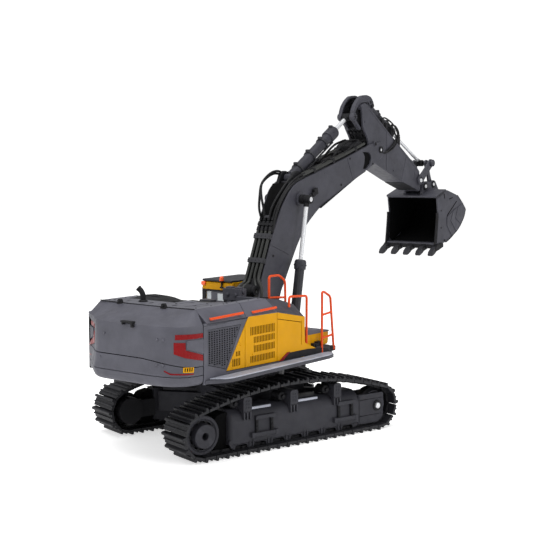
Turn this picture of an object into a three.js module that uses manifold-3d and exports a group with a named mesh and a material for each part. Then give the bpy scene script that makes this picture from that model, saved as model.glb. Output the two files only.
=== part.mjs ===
// Tracked excavator, a radio controlled scale model.
// Millimetres. X forward along the tracks, Y to the machine's left, Z up.
// Heights are written from the ground. The finished group is lowered by BELLY_Z, so its
// origin is on the swing axis, at the underside of the belly cover.
import * as THREE from "three";
import { mergeVertices } from "three/addons/utils/BufferGeometryUtils.js";
import Module from "manifold-3d";

const wasm = await Module();
wasm.setup();

// ---------------------------------------------------------------- driving dimensions
const GAP = 0.3; // between neighbours that do not move on each other
const PIN_CLEARANCE = 0.5; // radial, between a pin and the bore that turns on it

// undercarriage
const TRACK_WIDTH = 215; // over both tracks
const SHOE_WIDTH = 46;
const SHOE_COUNT = 48;
const SHOE_THICKNESS = 2;
const GROUSER_HEIGHT = 4.5;
const SPROCKET_X = -136;
const IDLER_X = 135;
const AXLE_Z = 31;
const SHOE_R = AXLE_Z - GROUSER_HEIGHT; // outer face of the shoes round a wheel
const TOP_RUN_Z = 78; // outer face of the shoes at the middle of the top run
const LINK_DEPTH = 3.6; // outer face of the shoes to the inner face of the links
const LINK_WIDTH = 20;
const WHEEL_R = SHOE_R - LINK_DEPTH - GAP - 0.3;
const TRACK_Y = (TRACK_WIDTH - SHOE_WIDTH) / 2;
const FRAME_INNER_Y = 69;
const FRAME_OUTER_Y = 100;
const FRAME_REAR_X = -98;
const FRAME_FRONT_X = 103;
const AXLE_R = 4;
const BELLY_Z = 30;
const DRUM_R = 48;
const DRUM_TOP_Z = 84;

// swing drive: a fixed external ring, and a pinion carried by the upper structure
const SWING = THREE.MathUtils.degToRad(15.46); // upper structure, as it stands at rest
const GEAR_MODULE = 2;
const RING_TEETH = 40;
const PINION_TEETH = 10;
const SWING_CENTRES = (GEAR_MODULE * (RING_TEETH + PINION_TEETH)) / 2;

// upper structure, in its own turned frame
const PLATE_Z0 = 97;
const PLATE_Z1 = 101;
const BODY_Y = 91; // outer face of the side panels
const DECK_Y = 75; // where the deck turns down into its chamfer
const CHAMFER_Z = 166.3;
const DECK_Z = 180;
const SKIN = 2;
const WEIGHT_SEAM_X = -190.6;
const DECK_FRONT_X = -56;
const TANK_FRONT_X = 0.8;
const TANK_INNER_Y = -28;

// front linkage pivots, as [x, z] in the upper structure's frame
const BOOM_FOOT = [8, 125];
const BOOM_PIN = [90, 295.5];
const LIFT_BASE = [58, 112];
const LIFT_Y = 30;
const STICK_PIVOT = [291, 363.5];
const STICK_RAM_BASE = [92, 323];
const STICK_RAM_PIN = [230.4, 409.5];
const BUCKET_RAM_BASE = [272, 432];
const ROCKER_PIVOT = [408.5, 318];
const ROCKER_TOP = [441, 345];
const BUCKET_PIVOT = [428.5, 308.5];
const LINK_FOOT = [454, 311.5];
const BOOM_HALF = 19;
const STICK_HALF = 16.6;
const BUCKET_HALF = 45;

// ---------------------------------------------------------------- finishes
// color, roughness, metalness
const FINISH = {
  slate: [0x505058, 0.55, 0.0],
  yellow: [0xdea514, 0.45, 0.0],
  black: [0x26262a, 0.6, 0.0],
  frame: [0x3c3c41, 0.6, 0.0],
  track: [0x232326, 0.65, 0.0],
  orange: [0xf56923, 0.45, 0.0],
  tread: [0xa5a5aa, 0.4, 0.4],
  chrome: [0xd0d2d6, 0.15, 1.0],
  steel: [0x9a9a9e, 0.35, 0.9],
  circuit: [0x1d5a35, 0.5, 0.1],
};

function mesh(name, part, finish, mirrored = false) {
  const data = part.getMesh();
  const geometry = new THREE.BufferGeometry();
  geometry.setAttribute("position", new THREE.BufferAttribute(data.vertProperties, 3));
  geometry.setIndex(new THREE.BufferAttribute(data.triVerts, 1));
  if (mirrored) {
    geometry.scale(1, -1, 1);
    geometry.index.array.reverse();
  }
  geometry.computeVertexNormals();
  const [color, roughness, metalness] = FINISH[finish];
  const material = new THREE.MeshStandardMaterial({ color, roughness, metalness });
  const item = new THREE.Mesh(geometry, material);
  item.name = name;
  return item;
}

// ---------------------------------------------------------------- solids
function solid(geometry) {
  geometry.deleteAttribute("normal");
  geometry.deleteAttribute("uv");
  const merged = mergeVertices(geometry, 1e-4);
  return new wasm.Manifold(new wasm.Mesh({
    numProp: 3,
    vertProperties: new Float32Array(merged.attributes.position.array),
    triVerts: new Uint32Array(merged.index.array),
  }));
}

const join = (...parts) => parts.flat().reduce((all, part) => all.add(part));
const cut = (part, ...tools) => tools.flat().reduce((left, tool) => left.subtract(tool), part);

function box(x0, x1, y0, y1, z0, z1) {
  const geometry = new THREE.BoxGeometry(x1 - x0, y1 - y0, z1 - z0);
  return solid(geometry.translate((x0 + x1) / 2, (y0 + y1) / 2, (z0 + z1) / 2));
}

function shapeOf(outline) {
  if (outline instanceof THREE.Shape) {
    return outline;
  }
  return new THREE.Shape(outline.map(([a, b]) => new THREE.Vector2(a, b)));
}

const EXTRUDE = { bevelEnabled: false, curveSegments: 12 };

// an outline in [x, z], from y0 to y1
function slabY(outline, y0, y1) {
  const geometry = new THREE.ExtrudeGeometry(shapeOf(outline), { ...EXTRUDE, depth: y1 - y0 });
  return solid(geometry.rotateX(Math.PI / 2).translate(0, y1, 0));
}

// an outline in [x, y], from z0 to z1
function slabZ(outline, z0, z1) {
  const geometry = new THREE.ExtrudeGeometry(shapeOf(outline), { ...EXTRUDE, depth: z1 - z0 });
  return solid(geometry.translate(0, 0, z0));
}

// an outline in [y, z], from x0 to x1
function slabX(outline, x0, x1) {
  const geometry = new THREE.ExtrudeGeometry(shapeOf(outline), { ...EXTRUDE, depth: x1 - x0 });
  const axes = new THREE.Matrix4().makeBasis(
    new THREE.Vector3(0, 1, 0), new THREE.Vector3(0, 0, 1), new THREE.Vector3(1, 0, 0));
  return solid(geometry.applyMatrix4(axes).translate(x0, 0, 0));
}

function rod(from, to, radius, sides = 12) {
  const start = new THREE.Vector3(...from);
  const end = new THREE.Vector3(...to);
  const along = end.clone().sub(start);
  const geometry = new THREE.CylinderGeometry(radius, radius, along.length(), sides);
  const turn = new THREE.Quaternion().setFromUnitVectors(
    new THREE.Vector3(0, 1, 0), along.clone().normalize());
  const middle = start.add(end).multiplyScalar(0.5);
  return solid(geometry.applyQuaternion(turn).translate(middle.x, middle.y, middle.z));
}

// a round bar across the machine, centred on an [x, z] pivot
const pinY = ([x, z], y0, y1, radius, sides = 12) => rod([x, y0, z], [x, y1, z], radius, sides);

// a bar that follows straight runs; each run passes its corner a little, to close it
function bentRod(points, radius) {
  const corners = points.map((point) => new THREE.Vector3(...point));
  const runs = corners.slice(1).map((end, i) => {
    const start = corners[i];
    const overrun = end.clone().sub(start).setLength(radius * 0.4);
    const from = i > 0 ? start.clone().sub(overrun) : start;
    const to = i < corners.length - 2 ? end.clone().add(overrun) : end;
    return rod(from.toArray(), to.toArray(), radius, 6);
  });
  return join(runs);
}

// a lug: the hull-like outline round two eyes, as a tapered bar
function linkPlate(a, b, radiusA, radiusB, y0, y1) {
  const along = new THREE.Vector2(b[0] - a[0], b[1] - a[1]).normalize();
  const side = [-along.y, along.x];
  const web = [
    [a[0] + side[0] * radiusA, a[1] + side[1] * radiusA],
    [a[0] - side[0] * radiusA, a[1] - side[1] * radiusA],
    [b[0] - side[0] * radiusB, b[1] - side[1] * radiusB],
    [b[0] + side[0] * radiusB, b[1] + side[1] * radiusB],
  ];
  return join(slabY(web, y0, y1), pinY(a, y0, y1, radiusA), pinY(b, y0, y1, radiusB));
}

const between = (a, b, t) => [a[0] + (b[0] - a[0]) * t, a[1] + (b[1] - a[1]) * t];
const distance = (a, b) => Math.hypot(b[0] - a[0], b[1] - a[1]);

// both machine sides of one piece, from its left-hand solid
function pair(name, leftSolid, finish) {
  return [
    mesh(`${name}_left`, leftSolid, finish),
    mesh(`${name}_right`, leftSolid, finish, true),
  ];
}

// ---------------------------------------------------------------- tracks
// The loop: flat bottom, round the idler, a shallow arc along the top, round the sprocket.
function trackLoop(offset) {
  const middleX = (SPROCKET_X + IDLER_X) / 2;
  const halfBase = (IDLER_X - SPROCKET_X) / 2;
  // centre height of the top arc, so that it is tangent to both wheel arcs
  const rise = TOP_RUN_Z - SHOE_R;
  const arcZ = (rise ** 2 - halfBase ** 2 - AXLE_Z ** 2) / (2 * (rise - AXLE_Z));
  const lean = Math.atan2(AXLE_Z - arcZ, halfBase);
  const loop = new THREE.Shape();
  const wheelR = SHOE_R + offset;
  loop.moveTo(SPROCKET_X, AXLE_Z - wheelR);
  loop.lineTo(IDLER_X, AXLE_Z - wheelR);
  loop.absarc(IDLER_X, AXLE_Z, wheelR, -Math.PI / 2, lean, false);
  loop.absarc(middleX, arcZ, TOP_RUN_Z - arcZ + offset, lean, Math.PI - lean, false);
  loop.absarc(SPROCKET_X, AXLE_Z, wheelR, Math.PI - lean, 1.5 * Math.PI, false);
  return loop;
}

// one shoe: a plate with its grouser, seen from the end as [along, outward]
function shoeProfile(length) {
  const half = length / 2;
  return [
    [-half, -SHOE_THICKNESS], [half, -SHOE_THICKNESS], [half, 0], [-half + 2, 0],
    [-half + 1.6, GROUSER_HEIGHT], [-half, GROUSER_HEIGHT]];
}

function track() {
  const links = trackLoop(-SHOE_THICKNESS + 0.2);
  links.holes.push(trackLoop(-LINK_DEPTH));
  const middle = trackLoop(0);
  const pitch = middle.getLength() / SHOE_COUNT;
  const profile = shoeProfile(pitch - 1.6);
  const shoes = Array.from({ length: SHOE_COUNT }, (_, i) => {
    const at = middle.getPointAt((i + 0.5) / SHOE_COUNT);
    const along = middle.getTangentAt((i + 0.5) / SHOE_COUNT);
    const outline = profile.map(([a, out]) => [
      at.x + a * along.x + out * along.y, at.y + a * along.y - out * along.x]);
    return slabY(outline, TRACK_Y - SHOE_WIDTH / 2, TRACK_Y + SHOE_WIDTH / 2);
  });
  return join(slabY(links, TRACK_Y - LINK_WIDTH / 2, TRACK_Y + LINK_WIDTH / 2), shoes);
}

// ---------------------------------------------------------------- wheels and drive
// a toothed outline; phase is the angle of one tooth's middle
function toothed(teeth, module, phase, clearance) {
  const pitchR = (teeth * module) / 2;
  const step = (2 * Math.PI) / teeth;
  const rootR = pitchR - 1.25 * module;
  const tipR = pitchR + 0.8 * module;
  const halfRoot = step * 0.3 - clearance / pitchR;
  const halfTip = step * 0.13 - clearance / pitchR;
  const outline = [];
  for (let i = 0; i < teeth; i += 1) {
    const middle = phase + i * step;
    const corners = [[rootR, -halfRoot], [tipR, -halfTip], [tipR, halfTip], [rootR, halfRoot]];
    corners.forEach(([radius, angle]) => {
      outline.push([radius * Math.cos(middle + angle), radius * Math.sin(middle + angle)]);
    });
  }
  return outline;
}

function sprocket() {
  const teeth = 14;
  const rootR = WHEEL_R - 3.2;
  const centre = [SPROCKET_X, AXLE_Z];
  const ring = toothed(teeth, (2 * WHEEL_R) / (teeth + 1.6), 0, 0)
    .map(([a, b]) => [SPROCKET_X + a, AXLE_Z + b]);
  const capY = TRACK_Y + SHOE_WIDTH / 2;
  const wheel = join(
    slabY(ring, TRACK_Y - 6, TRACK_Y + 6),
    pinY(centre, TRACK_Y - 6, TRACK_Y + 17, rootR, 20),
    pinY(centre, TRACK_Y + 16, capY, 14, 20));
  return cut(wheel,
    pinY(centre, TRACK_Y - 10, TRACK_Y + 5, AXLE_R + PIN_CLEARANCE),
    pinY(centre, capY - 3, capY + 1, 2.6, 12));
}

function driveMotor() {
  const centre = [SPROCKET_X, AXLE_Z];
  return join(
    pinY(centre, 60, 77.5, 17, 16),
    pinY(centre, 77, TRACK_Y + 4, AXLE_R),
    box(SPROCKET_X, FRAME_REAR_X - GAP, 65, 75, 20, 42));
}

function idler() {
  const centre = [IDLER_X, AXLE_Z];
  const wheel = join(
    pinY(centre, TRACK_Y - 6, TRACK_Y + 6, WHEEL_R, 22),
    pinY(centre, TRACK_Y - 8.5, TRACK_Y + 8.5, WHEEL_R - 4, 22));
  const dish = pinY(centre, TRACK_Y + 5, TRACK_Y + 9, WHEEL_R - 7, 22);
  return cut(wheel, dish, pinY(centre, 60, 110, AXLE_R + PIN_CLEARANCE));
}

function idlerYoke() {
  const rearX = FRAME_FRONT_X + GAP;
  const cheek = [[rearX, 10], [111, 9.5], [138, 9.5], [146, 15.5], [146, 47], [rearX, 47]];
  return join(
    slabY(cheek, FRAME_INNER_Y, 74.5),
    slabY(cheek, 94.6, FRAME_OUTER_Y),
    box(rearX, 111.5, FRAME_INNER_Y + 1, FRAME_OUTER_Y - 1, 12, 45),
    pinY([IDLER_X, AXLE_Z], FRAME_INNER_Y + 1, FRAME_OUTER_Y + 3.5, AXLE_R));
}

// ---------------------------------------------------------------- side frames
function sideFrame() {
  const profile = [
    [FRAME_REAR_X, 19], [-93, 13], [97, 13], [FRAME_FRONT_X, 18],
    [FRAME_FRONT_X, 50], [98, 54], [-84, 54], [FRAME_REAR_X, 38]];
  const rollerChannel = box(-92, 97, 74, 95, 12, 26);
  const brackets = [-72, -2, 67].map((x) => join(
    box(x - 4, x + 4, 76, FRAME_OUTER_Y + 2.5, 50, 67.5),
    box(x - 4, x - 1.6, FRAME_OUTER_Y - 1, FRAME_OUTER_Y + 2.5, 40, 52),
    box(x + 1.6, x + 4, FRAME_OUTER_Y - 1, FRAME_OUTER_Y + 2.5, 40, 52)));
  const steps = [[-65, -28], [63, 97]].map(([x0, x1]) => join(
    box(x0, x1, FRAME_OUTER_Y - 1, FRAME_OUTER_Y + 3, 19, 22),
    box(x0 + 6, x0 + 9, FRAME_OUTER_Y - 1, FRAME_OUTER_Y + 2.5, 21, 43),
    box(x1 - 9, x1 - 6, FRAME_OUTER_Y - 1, FRAME_OUTER_Y + 2.5, 21, 43),
    box(x0 + 3, x1 - 3, FRAME_OUTER_Y - 1, FRAME_OUTER_Y + 3, 40, 43)));
  return join(cut(slabY(profile, FRAME_INNER_Y, FRAME_OUTER_Y), rollerChannel), brackets, steps);
}

function rollerBank() {
  const rollerXs = Array.from({ length: 7 }, (_, i) => -80 + i * 27.5);
  const axleZ = 14.2;
  const rollers = rollerXs.map((x) => pinY([x, axleZ], 76, 93, 5.6, 10));
  return join(box(-90, 95, 82, 87, 15, 25.6), rollers);
}

// ---------------------------------------------------------------- centre frame
function centreFrame() {
  const legEndY = FRAME_INNER_Y - GAP;
  const leg = [[18, 44], [50, 20], [92, legEndY], [50, legEndY]];
  const legs = [[1, 1], [1, -1], [-1, 1], [-1, -1]].map(([sx, sy]) => {
    const outline = leg.map(([x, y]) => [x * sx, y * sy]);
    return slabZ(sx * sy > 0 ? outline : outline.reverse(), 24, 50);
  });
  const body = join(
    box(-54, 54, -50, 50, BELLY_Z + 2.3, 62),
    legs,
    rod([0, 0, 56], [0, 0, DRUM_TOP_Z], DRUM_R, 32));
  return cut(body, box(-36, 36, -36, 36, 20, BELLY_Z + 2.3), rod([0, 0, 70], [0, 0, 90], 30, 20));
}

function bellyCover() {
  return box(-35, 35, -35, 35, BELLY_Z, BELLY_Z + 2);
}

function swingRing() {
  // a gap faces the pinion, which stands straight behind the swing axis at rest
  const phase = Math.PI + SWING + Math.PI / RING_TEETH;
  const ring = slabZ(toothed(RING_TEETH, GEAR_MODULE, phase, 0.12), DRUM_TOP_Z + 0.2, 90);
  return cut(ring, rod([0, 0, 80], [0, 0, 95], 34.5, 28));
}

// ---------------------------------------------------------------- upper frame
function upperFrame() {
  const plan = [
    [-184, -74], [-8, -74], [-8, -90.5], [56, -90.5], [62, -84], [62, -46], [70, -43],
    [70, 26], [103, 28], [106, 34], [106, 86], [102, 90.5], [14, 90.5], [14, 74], [-184, 74]];
  const footCheek = [
    [-24, PLATE_Z1 - 0.5], [34, PLATE_Z1 - 0.5], [24, 128], [16, 137], [2, 137], [-6, 130]];
  const cheeks = [[19.8, 24.4], [-24.4, -19.8]].map(([y0, y1]) => slabY(footCheek, y0, y1));
  const liftEar = [[48, PLATE_Z1 - 0.5], [68, PLATE_Z1 - 0.5], [64, 115], [58, 118], [52, 115]];
  const liftEars = [-1, 1].flatMap((side) => [side * LIFT_Y - 5.4, side * LIFT_Y + 3.4].map(
    (y0) => slabY(liftEar, y0, y0 + 2)));
  const body = join(
    slabZ(plan, PLATE_Z0, PLATE_Z1),
    rod([0, 0, DRUM_TOP_Z + 0.4], [0, 0, PLATE_Z0 + 1], 33.5, 28),
    cheeks, liftEars, frontBase(), switchHousing());
  return cut(body,
    pinY(BOOM_FOOT, -30, 30, AXLE_R + 0.2),
    rod([-SWING_CENTRES, 0, 90], [-SWING_CENTRES, 0, 110], 4.5),
    rod([0, 0, 70], [0, 0, 110], 9, 20));
}

function swingMotor() {
  return join(
    rod([-SWING_CENTRES, 0, PLATE_Z1 + GAP], [-SWING_CENTRES, 0, 108], 16, 20),
    rod([-SWING_CENTRES, 0, 107], [-SWING_CENTRES, 0, 134], 13, 20));
}

function swingPinion() {
  // at rest a tooth of the pinion faces the swing axis
  const teeth = toothed(PINION_TEETH, GEAR_MODULE, 0, 0.12)
    .map(([x, y]) => [x - SWING_CENTRES, y]);
  const shaft = rod([-SWING_CENTRES, 0, 90], [-SWING_CENTRES, 0, PLATE_Z1 - 0.2], 3);
  return join(slabZ(teeth, DRUM_TOP_Z + 0.8, 90.4), shaft);
}

// ---------------------------------------------------------------- engine house
function counterweight() {
  const front = WEIGHT_SEAM_X - GAP;
  const plan = [
    [front, -91], [-200, -91], [-211, -87], [-222, -78], [-229, -62], [-232, -36],
    [-232, 36], [-229, 60], [-221, 75], [-208, 86], [-196, 91], [front, 91]];
  const narrow = plan.map(([x, y]) => [Math.min(front, x * 0.988), y * 0.985]);
  const lower = slabZ(plan.slice().reverse(), 103, 163);
  const foot = slabZ(narrow.slice().reverse(), 98, 103.2);
  // the upper band leans in from the bend line to the deck's edge
  const roof = slabX([
    [-BODY_Y, 162.8], [BODY_Y, 162.8], [BODY_Y, CHAMFER_Z], [DECK_Y, DECK_Z],
    [-DECK_Y, DECK_Z], [-BODY_Y, CHAMFER_Z],
  ], -236, front);
  const lean = slabY([
    [front + 1, 162], [-233, 162], [-228, 165], [front - 0.4, DECK_Z], [front + 1, DECK_Z],
  ], -95, 95);
  const roofPlan = slabZ(plan.slice().reverse(), 160, 182);
  return join(lower, foot, roof.intersect(lean).intersect(roofPlan));
}

const deckProfile = (inset) => [
  [-BODY_Y + inset, CHAMFER_Z], [-DECK_Y + inset * 0.7, DECK_Z - inset],
  [DECK_Y - inset * 0.7, DECK_Z - inset], [BODY_Y - inset, CHAMFER_Z]];

function deckCover() {
  const rear = WEIGHT_SEAM_X;
  const outer = slabX(deckProfile(0).reverse(), rear, DECK_FRONT_X);
  const inner = slabX([[-BODY_Y + 2 * SKIN, CHAMFER_Z - 1], ...deckProfile(SKIN),
    [BODY_Y - 2 * SKIN, CHAMFER_Z - 1]].reverse(), rear + SKIN, DECK_FRONT_X - SKIN);
  const hoodHole = box(-152, -66, -14, 61, 170, 190);
  const stackHole = rod([-167, 22, 170], [-167, 22, 190], 4.4);
  return cut(outer, inner, hoodHole, stackHole);
}

function engineHood() {
  const slope = [
    [-151.5, 178], [-66.5, 178], [-66.5, 180.5], [-84, 184.5], [-132, 186.5], [-151.5, 182]];
  return slabY(slope, -13.5, 60.5);
}

function sidePanel(y0, y1) {
  const outline = [
    [WEIGHT_SEAM_X, 98], [-8.4, 98], [-8.4, 104.5], [-154.3 + 3, 107.7],
    [-111.6, CHAMFER_Z - GAP - 0.2], [WEIGHT_SEAM_X, CHAMFER_Z - GAP]];
  const grilleHole = [[-182.6, 119], [-151, 110.4], [-124.4, 158.4], [-182.6, 158.4]];
  return cut(slabY(outline, y0, y1), slabY(grilleHole, y0 - 1, y1 + 1));
}

function grille(y0, y1) {
  const outline = [[-182.3, 119.4], [-151.2, 110.9], [-125, 158], [-182.3, 158]];
  const slots = Array.from({ length: 8 }, (_, i) => {
    const x = -178.5 + i * 6.4;
    const top = 155;
    // the lower edge falls toward the front as far as the corner, then rises steeply
    const fall = Math.min(1, (x + 182) / 31) * 5;
    const rise = Math.max(0, x + 149) * 1.8;
    return box(x, x + 2.2, y0 - 1, y1 + 1, 121.2 - fall + rise, top);
  });
  return cut(slabY(outline, y0, y1), slots);
}

function yellowPanel(y0, y1, frontX) {
  const top = CHAMFER_Z - GAP - 0.4;
  const outline = frontX > DECK_FRONT_X
    ? [[-150.6, 108], [frontX + 3.9, 105], [frontX + 3.9, 116], [frontX, 122.5], [frontX, 154],
      [-55.6, 165.2], [-111.2, top]]
    : [[-150.6, 108], [frontX, 106.6], [frontX, top], [-111.2, top]];
  const rows = [[-107.3, -62.4, 145.5, 153.4], [-102, -60.8, 134.2, 141.4],
    [-102, -60.8, 123, 130], [-107.4, -60.7, 112.6, 118.5]];
  const slots = rows.flatMap(([x0, x1, z0, z1]) => {
    const count = 5;
    const pitch = (x1 - x0) / count;
    return Array.from({ length: count }, (_, i) => box(
      x0 + i * pitch + 1, x0 + (i + 1) * pitch - 1, y0 - 1, y1 + 1, z0, z1));
  });
  return cut(slabY(outline, y0, y1), slots);
}

function tankCover() {
  const outer = slabY([
    [DECK_FRONT_X + GAP, 166.6], [DECK_FRONT_X + GAP, DECK_Z], [-30, 176.6], [1, 168], [1.6, 155],
  ], -BODY_Y, TANK_INNER_Y);
  const chamfer = slabX([
    [-BODY_Y, 150], [TANK_INNER_Y, 150], [TANK_INNER_Y, DECK_Z + 1],
    [-DECK_Y, DECK_Z], [-BODY_Y, CHAMFER_Z],
  ], DECK_FRONT_X - 1, 6);
  const hollow = slabY([
    [DECK_FRONT_X + GAP + SKIN, 150], [DECK_FRONT_X + GAP + SKIN, 176.6], [-30, 173.4],
    [-2, 165.4], [-2, 150],
  ], -BODY_Y + 3, TANK_INNER_Y - SKIN);
  return cut(outer.intersect(chamfer), hollow);
}

function tankFront() {
  return join(
    box(TANK_FRONT_X - SKIN, TANK_FRONT_X, -BODY_Y + 1, TANK_INNER_Y, PLATE_Z1 + GAP, 153.5),
    box(DECK_FRONT_X + 1, TANK_FRONT_X - 1, TANK_INNER_Y - SKIN, TANK_INNER_Y, PLATE_Z1 + GAP, 153.5));
}

function frontBase() {
  return slabY([
    [1.2, PLATE_Z1 - 1], [61.5, PLATE_Z1 - 1], [61.5, 106], [56, 112], [5.4, 112],
    [5.4, 104.4], [1.2, 104.4],
  ], -90.5, -46);
}

function frontBox() {
  return slabY([
    [6.2, 112.3], [60, 112.3], [62, 117], [62, 126], [40, 130], [6.2, 134],
  ], -84, -46.5);
}

function step(side) {
  const inner = BODY_Y + GAP;
  const plan = [
    [-197, inner + 0.4], [38, inner + 0.4], [48, inner + 2], [48, 104], [36, 106.8],
    [-156, 106.8]];
  const wide = plan.map(([x, y]) => [x, y * side]);
  const tread = slabZ(side > 0 ? wide : wide.reverse(), 101.5, 104.2);
  const [y0, y1] = side > 0 ? [inner + 0.4, 106] : [-106, -inner - 0.4];
  return join(tread, box(-150, 40, y0, y1, 98.5, 102));
}

// ---------------------------------------------------------------- rails
const RAIL_R = 1.15;

function deckRail(x0, x1, side) {
  const y = side * (BODY_Y - 1.2);
  const z = 171;
  const foot = CHAMFER_Z + 2.4;
  return bentRod([[x0, y, foot], [x0, y, z], [x1, y, z], [x1, y, foot]], RAIL_R);
}

function handrailInner() {
  const y = -60;
  const posts = bentRod([
    [-31.4, y, 177.4], [-31.4, y, 200], [-28, y, 203.5], [-15, y, 204], [1.1, y, 196],
    [1.6, y, 168.9],
  ], RAIL_R);
  return join(posts, rod([-31.4, y, 179], [1.2, y, 180.5], RAIL_R, 6));
}

function handrailOuter() {
  const y = -86.5;
  return bentRod([
    [-24.6, y, 171.6], [-24.6, y, 176], [-21, y, 179.4], [7, y, 179.4], [10.8, y, 176],
    [10.8, y, 112.6],
  ], RAIL_R);
}

function handrailFront() {
  const y = -87.2;
  const frame = bentRod([
    [41, y, 112.4], [41, y, 178], [45, y, 181], [59.6, y, 174.5], [66.9, y, 110],
    [60.6, y, 109.2],
  ], RAIL_R);
  return join(frame,
    rod([41, y, 154], [62, y, 155], RAIL_R, 6),
    rod([41, y, 127], [65, y, 128.5], RAIL_R, 6));
}

function exhaustStack() {
  return bentRod([[-167, 22, 168], [-167, 22, 184], [-169, 25, 191], [-174, 31, 197]], 3.2);
}

// ---------------------------------------------------------------- cab
const CAB = { x0: 18, x1: 106, y0: 38, y1: 90.4, z0: PLATE_Z1 + GAP, roof: 186 };

const cabProfile = (inset) => [
  [CAB.x0 + inset, CAB.z0 + inset], [CAB.x1 - inset, CAB.z0 + inset], [CAB.x1 - inset, 140],
  [CAB.x1 - 14 - inset, CAB.roof - inset], [CAB.x0 + inset, CAB.roof - inset]];

function cabShell() {
  const shell = cut(
    slabY(cabProfile(0), CAB.y0, CAB.y1),
    slabY(cabProfile(SKIN), CAB.y0 + SKIN, CAB.y1 - SKIN));
  const rearWindow = box(CAB.x0 - 1, CAB.x0 + 3, CAB.y0 + 7, CAB.y1 - 7, 142, 176);
  const windscreen = box(CAB.x1 - 20, CAB.x1 + 2, CAB.y0 + 5, CAB.y1 - 5, 118, 178);
  const innerWindow = box(CAB.x0 + 30, CAB.x1 - 18, CAB.y0 - 1, CAB.y0 + 3, 142, 177);
  const doorway = box(CAB.x0 + 24, CAB.x1 - 12, CAB.y1 - 3, CAB.y1 + 1, 110, 178);
  const rearSide = box(CAB.x0 + 5, CAB.x0 + 20, CAB.y1 - 3, CAB.y1 + 1, 142, 178);
  return cut(shell, rearWindow, windscreen, innerWindow, doorway, rearSide);
}

function cabRoof() {
  const plan = [[CAB.x0 - 1, CAB.y0 + 1], [CAB.x1 - 12, CAB.y0 + 1], [CAB.x1 - 9, CAB.y0 + 5],
    [CAB.x1 - 9, CAB.y1 - 5], [CAB.x1 - 12, CAB.y1 - 1], [CAB.x0 - 1, CAB.y1 - 1]];
  return slabZ(plan, CAB.roof + GAP, CAB.roof + 2.6);
}

function cabDoor() {
  const y0 = CAB.y1 + 0.5;
  const frame = box(CAB.x0 + 24.6, CAB.x1 - 12.6, y0, y0 + 1.6, 110.6, 177.4);
  const window = box(CAB.x0 + 30, CAB.x1 - 18, y0 - 1, y0 + 3, 140, 172);
  const hinges = [120, 168].map((z) => rod(
    [CAB.x0 + 23, y0 + 1.1, z - 4], [CAB.x0 + 23, y0 + 1.1, z + 4], 1.1, 10));
  const leaves = [120, 168].map((z) => box(CAB.x0 + 23, CAB.x0 + 27, y0 + 0.2, y0 + 1.6, z - 3, z + 3));
  return join(cut(frame, window), hinges, leaves);
}

// ---------------------------------------------------------------- electrics
const battery = () => box(-176, -108, -44, 2, PLATE_Z1 + GAP, 126);
const controlBoard = () => box(-176, -108, 14, 58, 108, 110);

function powerSwitch() {
  return join(
    box(-102.5, -94.5, 62.5, 67.5, PLATE_Z0 - 4, PLATE_Z0 - 1.4),
    box(-100, -97, 64, 66, PLATE_Z0 - 8, PLATE_Z0 - 3));
}

function switchHousing() {
  return cut(
    box(-106, -86, 60, 70, PLATE_Z0 - 6, PLATE_Z0 + 1),
    box(-103, -89, 62, 68, PLATE_Z0 - 7, PLATE_Z0 - 1));
}

// ---------------------------------------------------------------- boom
function arcPoints(centre, radius, from, to, count) {
  return Array.from({ length: count + 1 }, (_, i) => {
    const angle = THREE.MathUtils.degToRad(from + ((to - from) * i) / count);
    return [centre[0] + radius * Math.cos(angle), centre[1] + radius * Math.sin(angle)];
  });
}

function boom() {
  const outline = [
    ...arcPoints(BOOM_FOOT, 12.5, -170, -10, 6),
    [61, 186], [89.5, 234], [112, 262], [139, 283], [183, 303], [226, 323], [252, 333],
    ...arcPoints(STICK_PIVOT, 12, -60, 95, 6),
    [263, 371], [207, 353], [148, 336], [83, 318], [69, 308], [51.5, 283], [36.5, 248], [24.5, 219],
    [13.5, 193], [-2, 150]];
  const ears = slabY(outline, -BOOM_HALF, BOOM_HALF);
  const waist = [-1, 1].map((side) => slabX(
    [[19.5, 316], [16, 283], [13.5, 250], [13.5, 176], [19.5, 150], [24, 150], [24, 316]].map(
      ([y, z]) => [side * y, z]), -40, 160));
  const forkHalf = STICK_HALF + 0.5;
  const fork = join(
    pinY(STICK_PIVOT, -forkHalf, forkHalf, 46, 36),
    slabY([[291, 363], [252, 300], [330, 300], [340, 400], [250, 412]], -forkHalf, forkHalf));
  const ramPocket = slabY(
    [[80, 312], [95.5, 313.5], [130, 329.5], [130, 345], [80, 345]], -7.6, 7.6);
  const ramEars = [[7.6, 11], [-11, -7.6]].map(([y0, y1]) => slabY(
    [[80, 315], [106, 322], [100, 330], [92, 332], [85, 329]], y0, y1));
  const liftBosses = [[BOOM_HALF - 3, 26.2], [-26.2, -BOOM_HALF + 3]].map(
    ([y0, y1]) => pinY(BOOM_PIN, y0, y1, 5.5));
  const body = join(cut(ears, fork, ramPocket, waist), ramEars, liftBosses);
  return cut(body,
    pinY(BOOM_FOOT, -30, 30, AXLE_R + PIN_CLEARANCE),
    pinY(STICK_PIVOT, -30, 30, AXLE_R + 0.2),
    pinY(STICK_RAM_BASE, -12, 12, 2.5));
}

const boomFootPin = () => pinY(BOOM_FOOT, -26, 26, AXLE_R);

function stickPin() {
  return cut(pinY(STICK_PIVOT, -20.5, 20.5, AXLE_R), pinY(STICK_PIVOT, -22, 22, 1.6, 10));
}

// ---------------------------------------------------------------- rams
// A ram lies in the plane of y, from its base eye to its rod eye.
function alongRam({ base, pin, y }) {
  const reach = distance(base, pin);
  return (along) => {
    const [x, z] = between(base, pin, along / reach);
    return [x, y, z];
  };
}

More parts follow.
